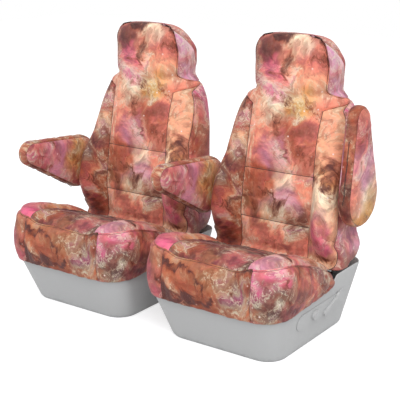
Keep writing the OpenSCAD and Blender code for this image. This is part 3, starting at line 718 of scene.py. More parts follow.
cushion = {
    "halfWidth": 0.289, "front": 0.277, "rear": 0.1655, "frontCorner": 0.100, "rearCorner": 0.060,
    "swell": 0.010, "edge": 0.042, "crestTurn": 42, "insertHalf": 0.168,
    "line": [(-0.290, 0.350), (-0.250, 0.367), (-0.200, 0.373), (-0.150, 0.366), (-0.100, 0.353),
             (-0.050, 0.337), (0.0, 0.320), (0.05, 0.303), (0.10, 0.287), (0.16, 0.270)],
    "rise": 0.020, "puff": 0.006, "sink": 0.003, "reach": 0.020,
    "uneven": 0.0022, "pucker": 0.0009, "gather": 0.0020, "crease": 0.0045, "cord": 0.0013,
    "cloth": {"every": 3, "frames": 18, "pressure": 4.0, "stretch": 12, "ease": 0.02, "cap": 0.008},
    "hem": [(-0.30, 0.181), (-0.10, 0.190), (0.08, 0.199), (0.12, 0.207), (0.17, 0.212)],
}
cushionPanels = {
    # front panel, right side, left side, rear, insert, right bolster, left bolster
    0: ([(-0.14, -0.28, 0.35, 0.030, "tan"), (-0.08, -0.28, 0.33, 0.05, "tan"),
         (0.02, -0.28, 0.33, 0.07, "tan"), (0.05, -0.28, 0.27, 0.07, "rust"),
         (0.15, -0.28, 0.29, 0.05, "maroon"), (0.12, -0.28, 0.20, 0.05, "rust"),
         (0.0, -0.28, 0.21, 0.07, "rust"), (-0.13, -0.28, 0.25, 0.06, "rust"),
         (-0.17, -0.28, 0.19, 0.04, "maroon"), (0.10, -0.28, 0.24, 0.05, "maroon")], "rust", 3),
    1: ([(0.25, -0.23, 0.35, 0.05, "hotPink"), (0.26, -0.24, 0.25, 0.07, "soot"),
         (0.30, -0.12, 0.21, 0.06, "maroon"), (0.30, -0.05, 0.27, 0.05, "salmon"),
         (0.30, -0.12, 0.31, 0.06, "rust"), (0.30, 0.05, 0.31, 0.05, "rose"),
         (0.29, 0.13, 0.27, 0.06, "maroon"), (0.30, 0.03, 0.24, 0.08, "maroon"),
         (0.21, -0.28, 0.22, 0.04, "tan"), (0.28, 0.10, 0.31, 0.03, "cream")], "rose", 11),
    2: ([(-0.23, -0.27, 0.33, 0.05, "tan"), (-0.25, -0.25, 0.25, 0.05, "rose"),
         (-0.21, -0.28, 0.28, 0.03, "salmon"), (-0.28, -0.18, 0.22, 0.05, "maroon"),
         (-0.30, 0.0, 0.28, 0.08, "salmon"), (-0.30, 0.1, 0.22, 0.06, "rust")], "rose", 19),
    3: ([(0.0, 0.17, 0.24, 0.1, "rose")], "tan", 23),
    # the insert's dark maroon ground and soot blots are partly the print's own colour and partly painted shade for
    # the recessed top
    4: ([(0.10, -0.20, 0.37, 0.05, "rose"), (0.0, -0.23, 0.37, 0.04, "tan"),
         (-0.10, -0.22, 0.37, 0.05, "rust"), (-0.05, -0.10, 0.35, 0.08, "maroon"),
         (0.08, -0.05, 0.34, 0.06, "soot"), (0.0, 0.04, 0.31, 0.06, "maroon"),
         (-0.12, 0.0, 0.31, 0.06, "soot"), (0.0, 0.12, 0.28, 0.06, "maroon"),
         (0.13, 0.0, 0.31, 0.05, "maroon")], "maroon", 29),
    5: ([(0.22, -0.22, 0.38, 0.05, "lilac"), (0.23, -0.08, 0.37, 0.06, "rose"),
         (0.23, 0.04, 0.33, 0.06, "tan")], "rose", 37),
    6: ([(-0.22, -0.22, 0.38, 0.06, "hotPink"), (-0.24, -0.17, 0.39, 0.05, "hotPink"),
         (-0.23, -0.08, 0.37, 0.06, "tan"), (-0.22, 0.04, 0.33, 0.06, "salmon"),
         (-0.22, 0.12, 0.30, 0.05, "rose")], "tan", 41),
}


def cushionTop(x, y):
    u = np.abs(x) / cushion["halfWidth"]
    ridge = smoothStep((u - 0.42) / 0.22) * (1 - smoothStep((u - 0.86) / 0.3))
    crown = 0.005 * (1 - smoothStep(u / 0.5))
    swell = cushion["rise"] * ridge * (1 - smoothStep((y - 0.02) / 0.13))
    return readCurve(cushion["line"], y) + swell + crown


def makeCushion(side):
    c = cushion
    counts = (64, 26, 60, 14, 64)
    def plan(swell, inset, scale=1.0):
        front, rear = c["front"] + swell - inset, c["rear"] - inset
        mid, half = (rear - front) / 2, (rear + front) / 2
        return roundedLoop(scale * (c["halfWidth"] + swell - inset), mid - scale * half, mid + scale * half,
                           scale * (c["frontCorner"] + swell - inset),
                           scale * (c["rearCorner"] - inset), counts)
    rows, kinds = [], []
    for u in np.concatenate([[-0.06, -0.02], np.linspace(0, 1, 30)]):
        q = plan(c["swell"] * math.sin(math.pi * max(u, 0)), 0.003 if u < -0.03 else (0.0008 if u < 0 else 0))
        hem = readCurve(c["hem"], q[:, 1])
        gather = 0.0035 * softNoise(np.stack([q[:, 0], q[:, 1], 0 * hem], -1), 0.022, 5)
        edge = cushionTop(q[:, 0], q[:, 1]) - c["edge"]
        lift = hem + gather * (1 - smoothStep(max(u, 0) / 0.3))
        z = lift + max(u, 0) * (edge - lift) + (0.004 if u < -0.03 else (-0.0004 if u < 0 else 0))
        rows.append(np.column_stack([q, z]))
        kinds.append(0)
    turns = np.linspace(0, 90, 16)[1:]
    for t in np.radians(turns):
        q = plan(0, c["edge"] * (1 - math.cos(t)))
        rows.append(np.column_stack([q, cushionTop(q[:, 0], q[:, 1]) - c["edge"] * (1 - math.sin(t))]))
        kinds.append(0 if math.degrees(t) <= c["crestTurn"] else 1)
    for s in np.linspace(1, 0.01, 52)[1:]:
        q = plan(0, c["edge"], s)
        rows.append(np.column_stack([q, cushionTop(q[:, 0], q[:, 1])]))
        kinds.append(1)
    p = np.array(rows)
    kinds = np.array(kinds)
    crest = int(np.argmax(kinds == 1)) - 1
    normal = gridNormals(p, True)
    x, y, z = p[..., 0], p[..., 1], p[..., 2]
    # distance from the nearest seam
    up = lengthAlong(p)
    gapCrest = np.abs(up - up[crest])
    corner = c["halfWidth"] - c["frontCorner"]
    gapFront = np.where(y < -0.2, np.abs(np.abs(x) - corner), 0.2)
    gapInsert = np.abs(np.abs(x) - c["insertHalf"])
    top = (np.arange(len(p)) > crest)[:, None]
    gap = np.minimum(gapCrest, np.where(top, gapInsert, gapFront))
    low = np.arange(len(p))[:, None] < 4
    p = clothPuff(side + "_cushion_blown", p, (gap < 0.004) | low, c["cloth"])
    normal = gridNormals(p, True)
    rise = sewnRise(gap, c["puff"], c["sink"], c["reach"]) - c["puff"] * 0.6
    # unevenness, puckers by the seams and gathers by the hem
    rise += c["uneven"] * cloudNoise(p, 0.10, 2) * smoothStep(gap / 0.02)
    rise += c["pucker"] * softNoise(p * np.array([1, 1, 0.35]), 0.013, 8) * np.exp(-gap / 0.014)
    hemGap = up - up[2]
    gathers = softNoise(p * np.array([1, 1, 0.2]), 0.020, 9) * np.exp(-np.abs(hemGap) / 0.03)
    rise += c["gather"] * gathers * ~top
    # creases that run across the insert, deeper towards the back
    along = np.stack([x * 0.35, y, 0 * x], -1)
    crease = 1 - np.abs(cloudNoise(along, 0.050, 14, 2)) * 3.2
    depth = np.where(top, smoothStep((c["insertHalf"] + 0.02 - np.abs(x)) / 0.05), 0)
    rise -= c["crease"] * np.clip(crease, 0, 1) ** 2 * depth * smoothStep((y + 0.24) / 0.1)
    p = p + normal * rise[..., None]
    n = p.shape[1]
    faces = gridFaces(len(p), n, True)
    faces.append(tuple((len(p) - 1) * n + i for i in range(n)))
    cover = newObject(side + "_cushion_cloth", p.reshape(-1, 3), faces)
    rowOf = np.repeat(np.arange(len(p) - 1), n).tolist() + [len(p) - 1]
    setPanels(cover, np.array(rowOf) > crest)
    bm = bmesh.new()
    bm.from_mesh(cover.data)
    for cut in (-c["insertHalf"], c["insertHalf"]):
        own = [f for f in bm.faces if abs(f.calc_center_median().x - cut) < 0.02]
        geom = own + list({e for f in own for e in f.edges}) + list({v for f in own for v in f.verts})
        bmesh.ops.bisect_plane(bm, geom=geom, dist=1e-6, plane_co=(cut, 0, 0), plane_no=(1, 0, 0))
    bmesh.ops.remove_doubles(bm, verts=bm.verts, dist=0.00015)
    layer = bm.faces.layers.int.get("panel")
    for f in bm.faces:
        m = f.calc_center_median()
        if f[layer]:
            f[layer] = 4 if abs(m.x) < c["insertHalf"] else (5 if m.x > 0 else 6)
        elif m.y < -0.2 and abs(m.x) < corner:
            f[layer] = 0
        elif m.y > c["rear"] - 0.02 and abs(m.x) < c["halfWidth"] - c["rearCorner"]:
            f[layer] = 3
        else:
            f[layer] = 1 if m.x > 0 else 2
    bm.to_mesh(cover.data)
    bm.free()
    cover.data.polygons.foreach_set("use_smooth", [True] * len(cover.data.polygons))
    paintPrint(cover, cushionPanels, (0, 0, 0))
    cover.data.transform(Matrix.Translation(seatAt[side]))
    cover.data.materials.append(clothMaterial)
    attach(cover, "seats")
    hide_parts(side + "_cushion_cover", side + "_cushion_foam")
    # seam cords
    place = seatAt[side]
    lines = []
    ring = p[crest] - normal[crest] * 0.0006
    lines.append(np.vstack([ring, ring[:1]]))
    for col in (0, counts[0]):
        lines.append((p[2:crest + 1, col] - normal[2:crest + 1, col] * 0.0006))
    for cut in (-c["insertHalf"], c["insertHalf"]):
        lines.append(topLine(p, normal, crest, cut))
    seam = tubeMesh(side + "_cushion_seams", [l + place for l in lines], c["cord"])
    seam.data.materials.append(threadMaterial)
    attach(seam, "seats")


def topLine(p, normal, crest, cut):
    # where the plane x = cut crosses the top, front to rear
    found = []
    n = p.shape[1]
    for j in range(crest, len(p)):
        row = p[j]
        for i in range(n):
            a, b = row[i], row[(i + 1) % n]
            if (a[0] - cut) * (b[0] - cut) <= 0 and abs(a[0] - b[0]) > 1e-9:
                t = (cut - a[0]) / (b[0] - a[0])
                found.append(a + t * (b - a) - normal[j, i] * 0.0006)
    found = np.array(found)
    found = found[np.argsort(found[:, 1])]
    keep = [0]
    for k in range(1, len(found)):
        if found[k, 1] - found[keep[-1], 1] > 0.004:
            keep.append(k)
    return found[keep]


for side in ("left", "right"):
    makeCushion(side)
print("cushions ready")

# the back and headrest cover: rows up the lean, columns that follow the seams
back = {
    "low": 0.250, "high": 1.095, "lean": 5.5, "halfSeat": 0.290, "hemTurn": 0.007, "armSide": 0.2735,
    # height share, half width share, depth before and behind the middle, bolster, shift (metres)
    "rows": [(0.000, 0.90, .113, .060, 0, 0), (0.014, 0.965, .116, .075, 0, 0),
             (0.040, 1.00, .108, .088, .012, 0), (0.080, 1.02, .114, .103, .036, 0),
             (0.118, 0.98, .117, .105, .064, 0), (0.148, 0.95, .120, .105, .082, 0),
             (0.220, 0.935, .122, .103, .105, 0), (0.330, 0.935, .121, .103, .092, 0),
             (0.450, 0.93, .120, .095, .030, 0), (0.560, 0.91, .116, .084, .004, 0),
             (0.640, 0.865, .112, .076, 0, 0), (0.700, 0.765, .110, .082, 0, 0),
             (0.735, 0.64, .108, .098, 0, 0), (0.760, 0.57, .110, .116, 0, 0),
             (0.790, 0.575, .116, .122, 0, 0), (0.860, 0.585, .120, .107, 0, 0),
             (0.930, 0.565, .086, .083, 0, -.034), (0.968, 0.52, .058, .055, 0, -.050),
             (0.991, 0.44, .036, .031, 0, -.062), (1.000, 0.32, .018, .015, 0, -.066)],
    "fullness": [(0.25, 8.0), (0.29, 5.5), (0.35, 3.4), (0.66, 3.2), (0.76, 2.6), (0.83, 2.2),
                 (0.87, 2.2), (0.905, 3.2), (1.10, 3.2)],
    "rearFullness": 3.0, "hipHalf": 0.2875,
    "centreSeam": [(0.25, .149), (0.70, .149), (0.78, .152), (0.83, .155), (0.86, .150), (0.873, .140)],
    "frontGusset": [(0.25, .115), (0.304, .128), (0.34, .124), (0.40, .097), (0.49, .098),
                    (0.59, .095), (0.65, .092), (0.70, .081), (0.78, .062), (0.83, .038), (0.848, 0),
                    (0.857, -.055), (0.863, -.02), (0.878, .032), (0.898, .071), (0.925, .105),
                    (0.97, .121), (1.095, .13)],
    "rearGusset": [(0.25, .06), (0.40, .085), (0.60, .07), (0.80, .055), (0.84, .06), (0.857, .075),
                   (0.886, .082), (0.947, .060), (0.993, .038), (1.041, .008), (1.07, -.02),
                   (1.095, -.03)],
    "crossSeams": (0.394, 0.585), "neck": 0.857,
    "columns": (36, 30, 34, 44), "puff": 0.008, "sink": 0.0035, "reach": 0.024, "press": 0.7,
    "uneven": 0.0026, "pucker": 0.0011, "hipGather": 0.0036, "neckGather": 0.0030, "crease": 0.0022,
    "cloth": {"every": 3, "frames": 16, "pressure": 3.0, "stretch": 14, "ease": 0.02, "cap": 0.007},
}
backPanels = {
    # front, right bolster, left bolster, right gusset, left gusset, right and left headrest ovals, rear
    0: ([(-0.09, 0.27, 1.03, 0.08, "maroon"), (0.06, 0.25, 0.99, 0.08, "salmon"),
         (-0.02, 0.25, 0.95, 0.06, "hotPink"), (0.09, 0.25, 0.92, 0.06, "peach"),
         (0.05, 0.25, 1.07, 0.05, "cream"), (-0.04, 0.2, 0.85, 0.07, "cream"),
         (0.08, 0.2, 0.84, 0.06, "mustard"), (-0.08, 0.2, 0.76, 0.07, "salmon"),
         (0.05, 0.2, 0.72, 0.06, "rust"), (-0.02, 0.2, 0.65, 0.06, "lilac"),
         (0.09, 0.2, 0.60, 0.06, "salmon"), (-0.09, 0.2, 0.55, 0.06, "rust"),
         (0.0, 0.2, 0.56, 0.05, "cream"), (0.02, 0.2, 0.49, 0.06, "lilac"),
         (-0.06, 0.2, 0.44, 0.07, "tan"), (-0.01, 0.2, 0.43, 0.04, "cream"),
         (0.09, 0.2, 0.42, 0.05, "maroon"), (-0.09, 0.2, 0.38, 0.04, "salmon")], "salmon", 51),
    1: ([(0.20, 0.2, 0.80, 0.06, "salmon"), (0.21, 0.15, 0.70, 0.07, "peach"),
         (0.22, 0.12, 0.62, 0.06, "mustard"), (0.21, 0.12, 0.51, 0.07, "cream"),
         (0.22, 0.12, 0.41, 0.05, "hotPink"), (0.20, 0.12, 0.34, 0.05, "hotPink")], "peach", 57),
    2: ([(-0.20, 0.2, 0.80, 0.06, "rose"), (-0.21, 0.15, 0.70, 0.06, "peach"),
         (-0.22, 0.12, 0.60, 0.07, "maroon"), (-0.21, 0.12, 0.50, 0.06, "rust"),
         (-0.22, 0.12, 0.42, 0.05, "rose"), (-0.20, 0.12, 0.34, 0.05, "maroon")], "rust", 61),
    3: ([(0.26, 0.3, 0.80, 0.08, "rose"), (0.26, 0.3, 0.65, 0.07, "rust"),
         (0.28, 0.3, 0.50, 0.08, "salmon"), (0.29, 0.28, 0.36, 0.06, "lilac"),
         (0.29, 0.28, 0.28, 0.05, "maroon")], "rose", 67),
    4: ([(-0.26, 0.3, 0.80, 0.08, "tan"), (-0.26, 0.3, 0.65, 0.07, "maroon"),
         (-0.28, 0.3, 0.50, 0.08, "salmon"), (-0.29, 0.28, 0.36, 0.06, "rose")], "rust", 71),
    5: ([(0.13, 0.36, 1.00, 0.06, "lilac"), (0.13, 0.34, 0.93, 0.05, "rose"),
         (0.12, 0.42, 0.96, 0.05, "hotPink")], "lilac", 73),
    6: ([(-0.13, 0.36, 1.00, 0.06, "maroon"), (-0.13, 0.34, 0.93, 0.05, "rose")], "rose", 79),
    7: ([(-0.1, 0.45, 0.95, 0.10, "salmon"), (0.1, 0.45, 0.80, 0.12, "rose"),
         (-0.1, 0.45, 0.65, 0.11, "tan"), (0.1, 0.45, 0.55, 0.10, "hotPink"),
         (-0.05, 0.4, 0.40, 0.10, "maroon"), (0.15, 0.4, 0.33, 0.08, "cream")], "rose", 83),
}


def spacedPoints(line, lengths, counts):
    # points along a fine line, evenly spaced between the given lengths
    run = lengthAlong(line)
    stops = []
    for k, count in enumerate(counts):
        stops.append(np.linspace(lengths[k], lengths[k + 1], count, endpoint=False))
    at = np.concatenate(stops + [[lengths[-1]]])
    return np.stack([np.interp(at, run, line[:, i]) for i in range(line.shape[1])], -1), at


def backSection(z, g):
    b = back
    u = (z - b["low"]) / (b["high"] - b["low"])
    rows = np.array(b["rows"])
    share, front, rear, bolster, shift = (float(readCurve(rows[:, [0, k]], u)) for k in range(1, 6))
    half = share * b["halfSeat"] - g
    full = float(readCurve(b["fullness"], z))
    middle = 0.290 + (z - 0.285) * math.tan(math.radians(b["lean"])) + shift
    a = np.radians(np.linspace(-90, 90, 721))
    power = np.where(a < 0, full, b["rearFullness"])
    x = half * roundPow(np.cos(a), power)
    s = roundPow(np.sin(a), power)
    ridge = np.sin(np.pi * np.clip((x / half - 0.5) / 0.72, 0, 1)) ** 2 * np.minimum(1, -2 * s)
    y = middle + np.where(s < 0, s * (front - g), s * (rear - g)) - np.where(s < 0, bolster * ridge, 0)
    # the hips stay full down to the hem in front, where they stand over the tub's rim
    spare = max(0, b["hipHalf"] - g - half) * (1 - smoothStep((z - 0.29) / 0.03))
    x = x + spare * smoothStep(-s / 0.30) * smoothStep((x / half - 0.5) / 0.4)
    x[0] = x[-1] = 0
    return np.stack([x, y], -1), middle, half, rear - g


def backRow(z, g):
    b = back
    line, middle, half, rear = backSection(z, g)
    run = lengthAlong(line)
    turn = int(np.argmax(line[:, 0]))
    # the front part, up to the widest point, holds the centre seam
    seamX = min(float(readCurve(b["centreSeam"], z)), half * 0.9)
    one = float(np.interp(seamX, line[:turn + 1, 0], run[:turn + 1]))
    lowest = int(np.argmin(line[:, 1]))
    corner = float(np.interp(half * 0.945, line[:turn + 1, 0], run[:turn + 1]))
    two = float(np.interp(middle - float(readCurve(b["frontGusset"], z)), line[lowest:, 1], run[lowest:]))
    behind = middle + min(float(readCurve(b["rearGusset"], z)), rear * 0.93)
    three = float(np.interp(behind, line[lowest:, 1], run[lowest:]))
    two = max(two, corner)
    # the centre seam runs out to the side where the shoulder meets the headrest
    one = one + (two - one) * float(smoothStep((z - b["neck"] + 0.032) / 0.030))
    two = max(two, one)
    three = max(three, two)
    points, at = spacedPoints(line, [0, one, two, three, run[-1]], b["columns"])
    gaps = np.stack([np.abs(at - one), np.abs(at - two), np.abs(at - three)], -1)
    if z > b["neck"]:
        gaps[:, 0] = gaps[:, 1]
    return points, gaps


def backGrid():
    b = back
    tall = b["high"] - b["low"]
    levels = [(b["low"] + 0.003, b["hemTurn"]), (b["low"] + 0.0005, b["hemTurn"] * 0.55),
              (b["low"], 0.006), (b["low"], 0.002)]
    climb = np.concatenate([np.linspace(0, 0.05, 14), np.linspace(0.05, 0.70, 110)[1:],
                            np.linspace(0.70, 0.82, 46)[1:], np.linspace(0.82, 0.93, 26)[1:]])
    crown = 0.93 + 0.07 * np.sin(np.radians(np.linspace(0, 90, 26)))[1:]
    levels += [(b["low"] + u * tall, 0) for u in np.concatenate([climb, crown])]
    rows, gaps = [], []
    for z, g in levels:
        half, gap = backRow(z, g)
        mirror = half[-2:0:-1] * np.array([-1, 1])
        ring = np.concatenate([half, mirror])
        rows.append(np.column_stack([ring, np.full(len(ring), z)]))
        gaps.append(np.concatenate([gap, gap[-2:0:-1]]))
    # close the top with rings that shrink to a line
    last = rows[-1]
    centre = last.mean(axis=0)
    for s in (0.8, 0.55, 0.3, 0.08):
        ring = centre + (last - centre) * s
        ring[:, 2] = last[:, 2] + 0.0015 * (1 - s * s)
        rows.append(ring)
        gaps.append(gaps[-1] + 0.02 * (1 - s))
    return np.array(rows), np.array(gaps), len(levels)


closure = {"half": 0.150, "from": 0.334, "to": 0.372, "stand": 0.0012, "thick": 0.0016}


def closureTape(side, p, normal):
    # the hook-and-loop tape that shuts the cover behind, lying on the cloth
    c = closure
    n = p.shape[1]
    rear = np.arange(n // 4, n - n // 4)
    columns = rear[np.abs(p[60, rear, 0]) < c["half"]]
    rows = np.where((p[:, 0, 2] > c["from"]) & (p[:, 0, 2] < c["to"]))[0]
    patch, out = p[np.ix_(rows, columns)], normal[np.ix_(rows, columns)]
    rim = np.zeros(patch.shape[:2])
    rim[1:-1, 1:-1] = 1
    top = patch + out * (c["stand"] + c["thick"] * (0.35 + 0.65 * rim[..., None]))
    under = patch - out * 0.0008
    tall, wide = patch.shape[:2]
    faces = gridFaces(tall, wide, False)
    faces += [tuple(tall * wide + k for k in reversed(f)) for f in faces]
    edge = ([i for i in range(wide)] + [j * wide + wide - 1 for j in range(1, tall)]
            + [(tall - 1) * wide + i for i in range(wide - 2, -1, -1)]
            + [j * wide for j in range(tall - 2, 0, -1)])
    for k in range(len(edge)):
        a, d = edge[k], edge[(k + 1) % len(edge)]
        faces.append((a, tall * wide + a, tall * wide + d, d))
    points = np.concatenate([top.reshape(-1, 3), under.reshape(-1, 3)]) + seatAt[side]
    tape = newObject(side + "_closure_tape", points, faces)
    fixNormals(tape)
    tape.data.materials.append(finishFor["webbing"])
    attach(tape, side + "_back")
    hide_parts(side + "_closure_strip")


def makeBack(side):
    b = back
    p, gaps, walls = backGrid()
    normal = gridNormals(p, True)
    x, z = p[..., 0], p[..., 2]
    columns = b["columns"]
    half = sum(columns)
    edge = np.cumsum((0,) + columns)
    total = p.shape[1]
    strip = np.zeros(total, int)
    for i in range(total):
        k = i if i < half else total - 1 - i
        strip[i] = int(np.searchsorted(edge, k, "right") - 1)
    front = (np.arange(total) <= columns[0]) | (np.arange(total) >= total - columns[0])
    gap = gaps.min(axis=2)
    cross = np.min([np.abs(z - v) for v in b["crossSeams"]], axis=0)
    gapFront = np.where(front[None, :], cross, 1)
    low = np.abs(z - b["low"])
    row = np.arange(len(p))[:, None]
    held = (np.minimum(gap, gapFront) < 0.004) | (row < 6) | (row >= walls)
    p = clothPuff(side + "_back_blown", p, held, b["cloth"])
    normal = gridNormals(p, True)
    # channels of the front: each panel crowns between its seams
    rise = sewnRise(np.minimum(gap, gapFront), b["puff"], b["sink"], b["reach"]) - b["puff"] * 0.65
    rise *= smoothStep(low / 0.03)
    rise[walls:] *= 0.4
    rise += b["uneven"] * cloudNoise(p, 0.13, 17) * smoothStep(gap / 0.02)
    # puckers beside the seams, gathers where the cover is drawn in under the hips and at the neck
    rise += b["pucker"] * softNoise(p, 0.014, 21) * np.exp(-np.minimum(gap, gapFront) / 0.014)
    hips = np.exp(-((z - 0.335) / 0.045) ** 2) * smoothStep((np.abs(x) - 0.20) / 0.05)
    rise += b["hipGather"] * softNoise(p * np.array([1, 0.6, 2.0]), 0.030, 25) * hips
    neck = np.exp(-((z - 0.870) / 0.030) ** 2)
    rise += b["neckGather"] * softNoise(p * np.array([1, 1, 1.6]), 0.034, 27) * neck
    folds = 1 - np.abs(softNoise(p * np.array([0.25, 0.25, 1.0]), 0.045, 29)) * 3
    rise -= b["crease"] * np.clip(folds, 0, 1) ** 2 * smoothStep((0.62 - z) / 0.1) * front[None, :]
    p = p + normal * rise[..., None]
    # pressed flatter at the sides, where the armrests fold past
    wide = np.abs(p[..., 0])
    extra = np.clip(wide - b["armSide"], 0, None) * b["press"] * smoothStep((p[..., 2] - 0.34) / 0.03)
    p[..., 0] = np.sign(p[..., 0]) * (wide - extra)
    n = p.shape[1]
    faces = gridFaces(len(p), n, True)
    faces.append(tuple((len(p) - 1) * n + i for i in range(n)))
    cover = newObject(side + "_back_cloth", p.reshape(-1, 3), faces)
    panel = []
    for j in range(len(p) - 1):
        head = z[j, 0] > b["neck"]
        for i in range(n):
            right = i < half
            kind = strip[i]
            if kind == 0 or (kind == 1 and head):
                panel.append(0)
            elif kind == 1:
                panel.append(1 if right else 2)
            elif kind == 2:
                panel.append((5 if right else 6) if head else (3 if right else 4))
            else:
                panel.append(7)
    panel.append(0)
    setPanels(cover, panel)
    cleanUp(cover)
    paintPrint(cover, backPanels, (1.3, 0.2, 0.4))
    cover.data.transform(Matrix.Translation(seatAt[side]))
    cover.data.materials.append(clothMaterial)
    body = side + "_back"
    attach(cover, body)
    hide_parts(side + "_back_cover", side + "_back_foam", side + "_headrest_foam")
    closureTape(side, p, normal)
    # the sewn lines
    place = seatAt[side]
    inner = p + normal * 0.0002
    lines = []
    rowNeck = int(np.argmax(z[:, 0] > b["neck"]))
    for col in (columns[0], total - columns[0]):
        lines.append(inner[3:rowNeck + 1, col])
    for col in (edge[2], total - edge[2]):
        lines.append(inner[3:walls, col])
    for col in (edge[3], total - edge[3]):
        lines.append(inner[3:walls, col])
    for v in b["crossSeams"]:
        j = int(np.argmin(np.abs(z[:, 0] - v)))
        lines.append(np.concatenate([inner[j, total - columns[0]:], inner[j, :columns[0] + 1]]))
    seams = tubeMesh(side + "_back_seams", [l + place for l in lines], 0.0014)
    seams.data.materials.append(threadMaterial)
    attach(seams, body)


for side in ("left", "right"):
    makeBack(side)
print("backs ready")


# armrests: a face on each side, a band round the rim, seams where they meet
armrest = {
    "inner": 0.2815, "thick": 0.072, "hub": (-0.068, 0.009), "run": 0.290, "rearRadius": 0.112,
    "tipRadius": 0.050,
    "edge": 0.021, "soft": 0.032, "puff": 0.006, "down": 17, "up": 85,
    "uneven": 0.0018, "pucker": 0.0010, "dent": 0.0016, "cord": 0.0010,
    "cloth": {"every": 2, "frames": 16, "pressure": 3.0, "stretch": 14, "ease": 0.01, "cap": 0.0025},
}
armPanels = {
    # outer face, inner face, band, in the armrest's own level frame
    0: ([(0.352, 0.0, 0.02, 0.07, "mustard"), (0.352, -0.08, 0.0, 0.07, "cream"),
         (0.352, -0.18, 0.0, 0.08, "lilac"), (0.352, -0.30, 0.0, 0.07, "rose"),
         (0.352, -0.10, -0.06, 0.05, "salmon")], "salmon", 91),
    1: ([(0.276, 0.0, 0.02, 0.07, "cream"), (0.276, -0.10, 0.0, 0.07, "mustard"),
         (0.276, -0.22, 0.0, 0.08, "lilac"), (0.276, -0.32, 0.0, 0.07, "rose")], "rose", 97),
    2: ([(0.31, -0.2, 0.06, 0.07, "rust"), (0.31, -0.34, 0.0, 0.06, "maroon"),
         (0.31, 0.0, 0.12, 0.07, "tan"), (0.31, -0.1, -0.10, 0.07, "maroon")], "rust", 101),
}


def armOutline(g, count=176):
    a = armrest
    hub = np.array(a["hub"])
    tip = hub - np.array([a["run"], 0])
    turn = math.acos((a["rearRadius"] - a["tipRadius"]) / a["run"])
    fine = []
    spine = []
    for centre, radius, start, end, steps in ((hub, a["rearRadius"] - g, turn - math.pi, math.pi - turn, 400),
                                              (tip, a["tipRadius"] - g, math.pi - turn, math.pi + turn, 200)):
        for t in np.linspace(start, end, steps):
            fine.append(centre + radius * np.array([math.cos(t), math.sin(t)]))
            spine.append(centre)
    fine.append(fine[0])
    spine.append(spine[0])
    fine, spine = np.array(fine), np.array(spine)
    run = lengthAlong(fine)
    at = np.linspace(0, run[-1], count, endpoint=False)
    both = np.concatenate([fine, spine], axis=1)
    # straight runs slide their spine point from one circle's middle to the other's
    out = np.stack([np.interp(at, run, both[:, k]) for k in range(4)], -1)
    return out[:, :2], out[:, 2:]


def concealedZip(name, p, middle):
    # a zip whose lips close over it, along the band's lower side, with its small pull
    line = p[middle]
    under = line[(line[:, 1] > -0.30) & (line[:, 1] < -0.08) & (line[:, 2] < 0)]
    under = under[np.argsort(under[:, 1])]
    lips = [under + np.array([dx, 0, 0.0002]) for dx in (-0.0012, 0.0012)]
    pull = under[-1] + np.array([[0, 0, -0.001], [0, 0.004, -0.004], [0, 0.010, -0.006], [0, 0.016, -0.005]])
    return tubeMesh(name + "_armrest_zip", lips + [pull], 0.0009)


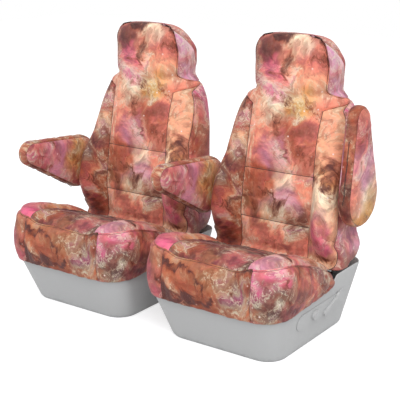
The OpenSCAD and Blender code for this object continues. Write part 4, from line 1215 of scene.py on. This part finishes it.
def makeArm(name, side, mirror, tilt):
    a = armrest
    rim, spine = armOutline(0)
    profile = []
    shrink = [0.02, 0.12, 0.24, 0.36, 0.48, 0.60, 0.70, 0.78]
    for s in shrink:
        profile.append(("face", s, 0.0))
    r = a["edge"]
    for t in np.radians(np.linspace(0, 90, 11)):
        profile.append(("edge", a["soft"] * (1 - math.sin(t)), r * (1 - math.cos(t))))
    for s in np.linspace(0, 1, 9)[1:-1]:
        profile.append(("band", 0.0, r + s * (a["thick"] - 2 * r)))
    for t in np.radians(np.linspace(90, 0, 11)):
        profile.append(("edge", a["soft"] * (1 - math.sin(t)), a["thick"] - r * (1 - math.cos(t))))
    for s in reversed(shrink):
        profile.append(("face", s, a["thick"]))
    rows, kinds = [], []
    size = np.linalg.norm(rim - spine, axis=1, keepdims=True)
    for kind, v, depth in profile:
        if kind == "face":
            reach = (size - a["soft"]) * v
            q = spine + (rim - spine) / size * reach
        else:
            q = spine + (rim - spine) * (size - v) / size
        rows.append(np.column_stack([np.full(len(q), a["inner"] + depth), q]))
        kinds.append(kind)
    p = np.array(rows)
    normal = gridNormals(p, True)
    outward = np.sign((normal[len(p) // 2] * np.column_stack([0 * rim[:, 0], rim - spine])).sum())
    normal = normal * outward
    seamRows = (len(shrink) + 7, len(p) - 8 - len(shrink))
    up = lengthAlong(p)
    gap = np.minimum(np.abs(up - up[seamRows[0]]), np.abs(up - up[seamRows[1]]))
    p = clothPuff(name + "_armrest_blown", p, gap < 0.003, a["cloth"], True)
    normal = gridNormals(p, True) * outward
    rise = sewnRise(gap, a["puff"], 0.0025, 0.020) - a["puff"] * 0.5
    rise += a["uneven"] * cloudNoise(p, 0.07, 33) * smoothStep(gap / 0.015)
    rise += a["pucker"] * softNoise(p, 0.013, 35) * np.exp(-gap / 0.012)
    faceRows = np.array([k == "face" for k in kinds])[:, None]
    rise += np.where(faceRows, a["dent"] * softNoise(p, 0.045, 37), 0)
    p = p + normal * rise[..., None]
    n = p.shape[1]
    faces = gridFaces(len(p), n, True)
    first = tuple(reversed(range(n)))
    last = tuple((len(p) - 1) * n + i for i in range(n))
    faces += [first, last]
    panel = []
    for j in range(len(p) - 1):
        kind = 1 if j < seamRows[0] else (0 if j >= seamRows[1] else 2)
        panel += [kind] * n
    panel += [1, 0]
    cover = newObject(name + "_armrest_cloth", p.reshape(-1, 3), faces)
    setPanels(cover, panel)
    cleanUp(cover, 0.0002)
    paintPrint(cover, armPanels, (0.9, 1.7 if mirror else 2.6, 0.3 if tilt == a["up"] else 1.1))
    t = math.radians(tilt)
    turn = Matrix.Rotation(-t, 4, "X")
    pivot = np.array(jointNamed[name + "_arm_lift"]["pos_m"])
    pivot = Vector((seatAt[side][0], pivot[1], pivot[2]))
    move = Matrix.Translation(pivot) @ turn
    if mirror:
        move = Matrix.Translation(pivot) @ Matrix.Scale(-1, 4, (1, 0, 0)) @ turn
    seamLines = [np.vstack([p[j] - normal[j] * 0.0005, (p[j] - normal[j] * 0.0005)[:1]]) for j in seamRows]
    seams = tubeMesh(name + "_armrest_seams", seamLines, a["cord"])
    zipCord = concealedZip(name, p, len(p) // 2)
    for thing in (cover, seams, zipCord):
        thing.data.transform(move)
        fixNormals(thing)
        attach(thing, name + "_arm")
    cover.data.materials.append(clothMaterial)
    seams.data.materials.append(threadMaterial)
    zipCord.data.materials.append(threadMaterial)
    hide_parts(name + "_arm_zip")
    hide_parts(name + "_arm_cover", name + "_arm_foam")


makeArm("left", "left", True, armrest["down"])
makeArm("middle", "right", True, armrest["down"])
makeArm("right", "right", False, armrest["up"])
print("armrests ready")


# the frame's own pieces that stay in sight get their finishes
replaced = ("base_shell", "cushion_cover", "cushion_foam", "back_cover", "back_foam", "headrest_foam",
            "arm_cover", "arm_foam", "arm_zip", "closure_strip")
for part in frame["record"]["subparts"]:
    name = part["node"]
    if name.split("_", 1)[1] in replaced:
        continue
    for place in frame["nodes"][name].material_slots:
        place.material = finishFor[part["material_slot"]]
print("finishes ready")
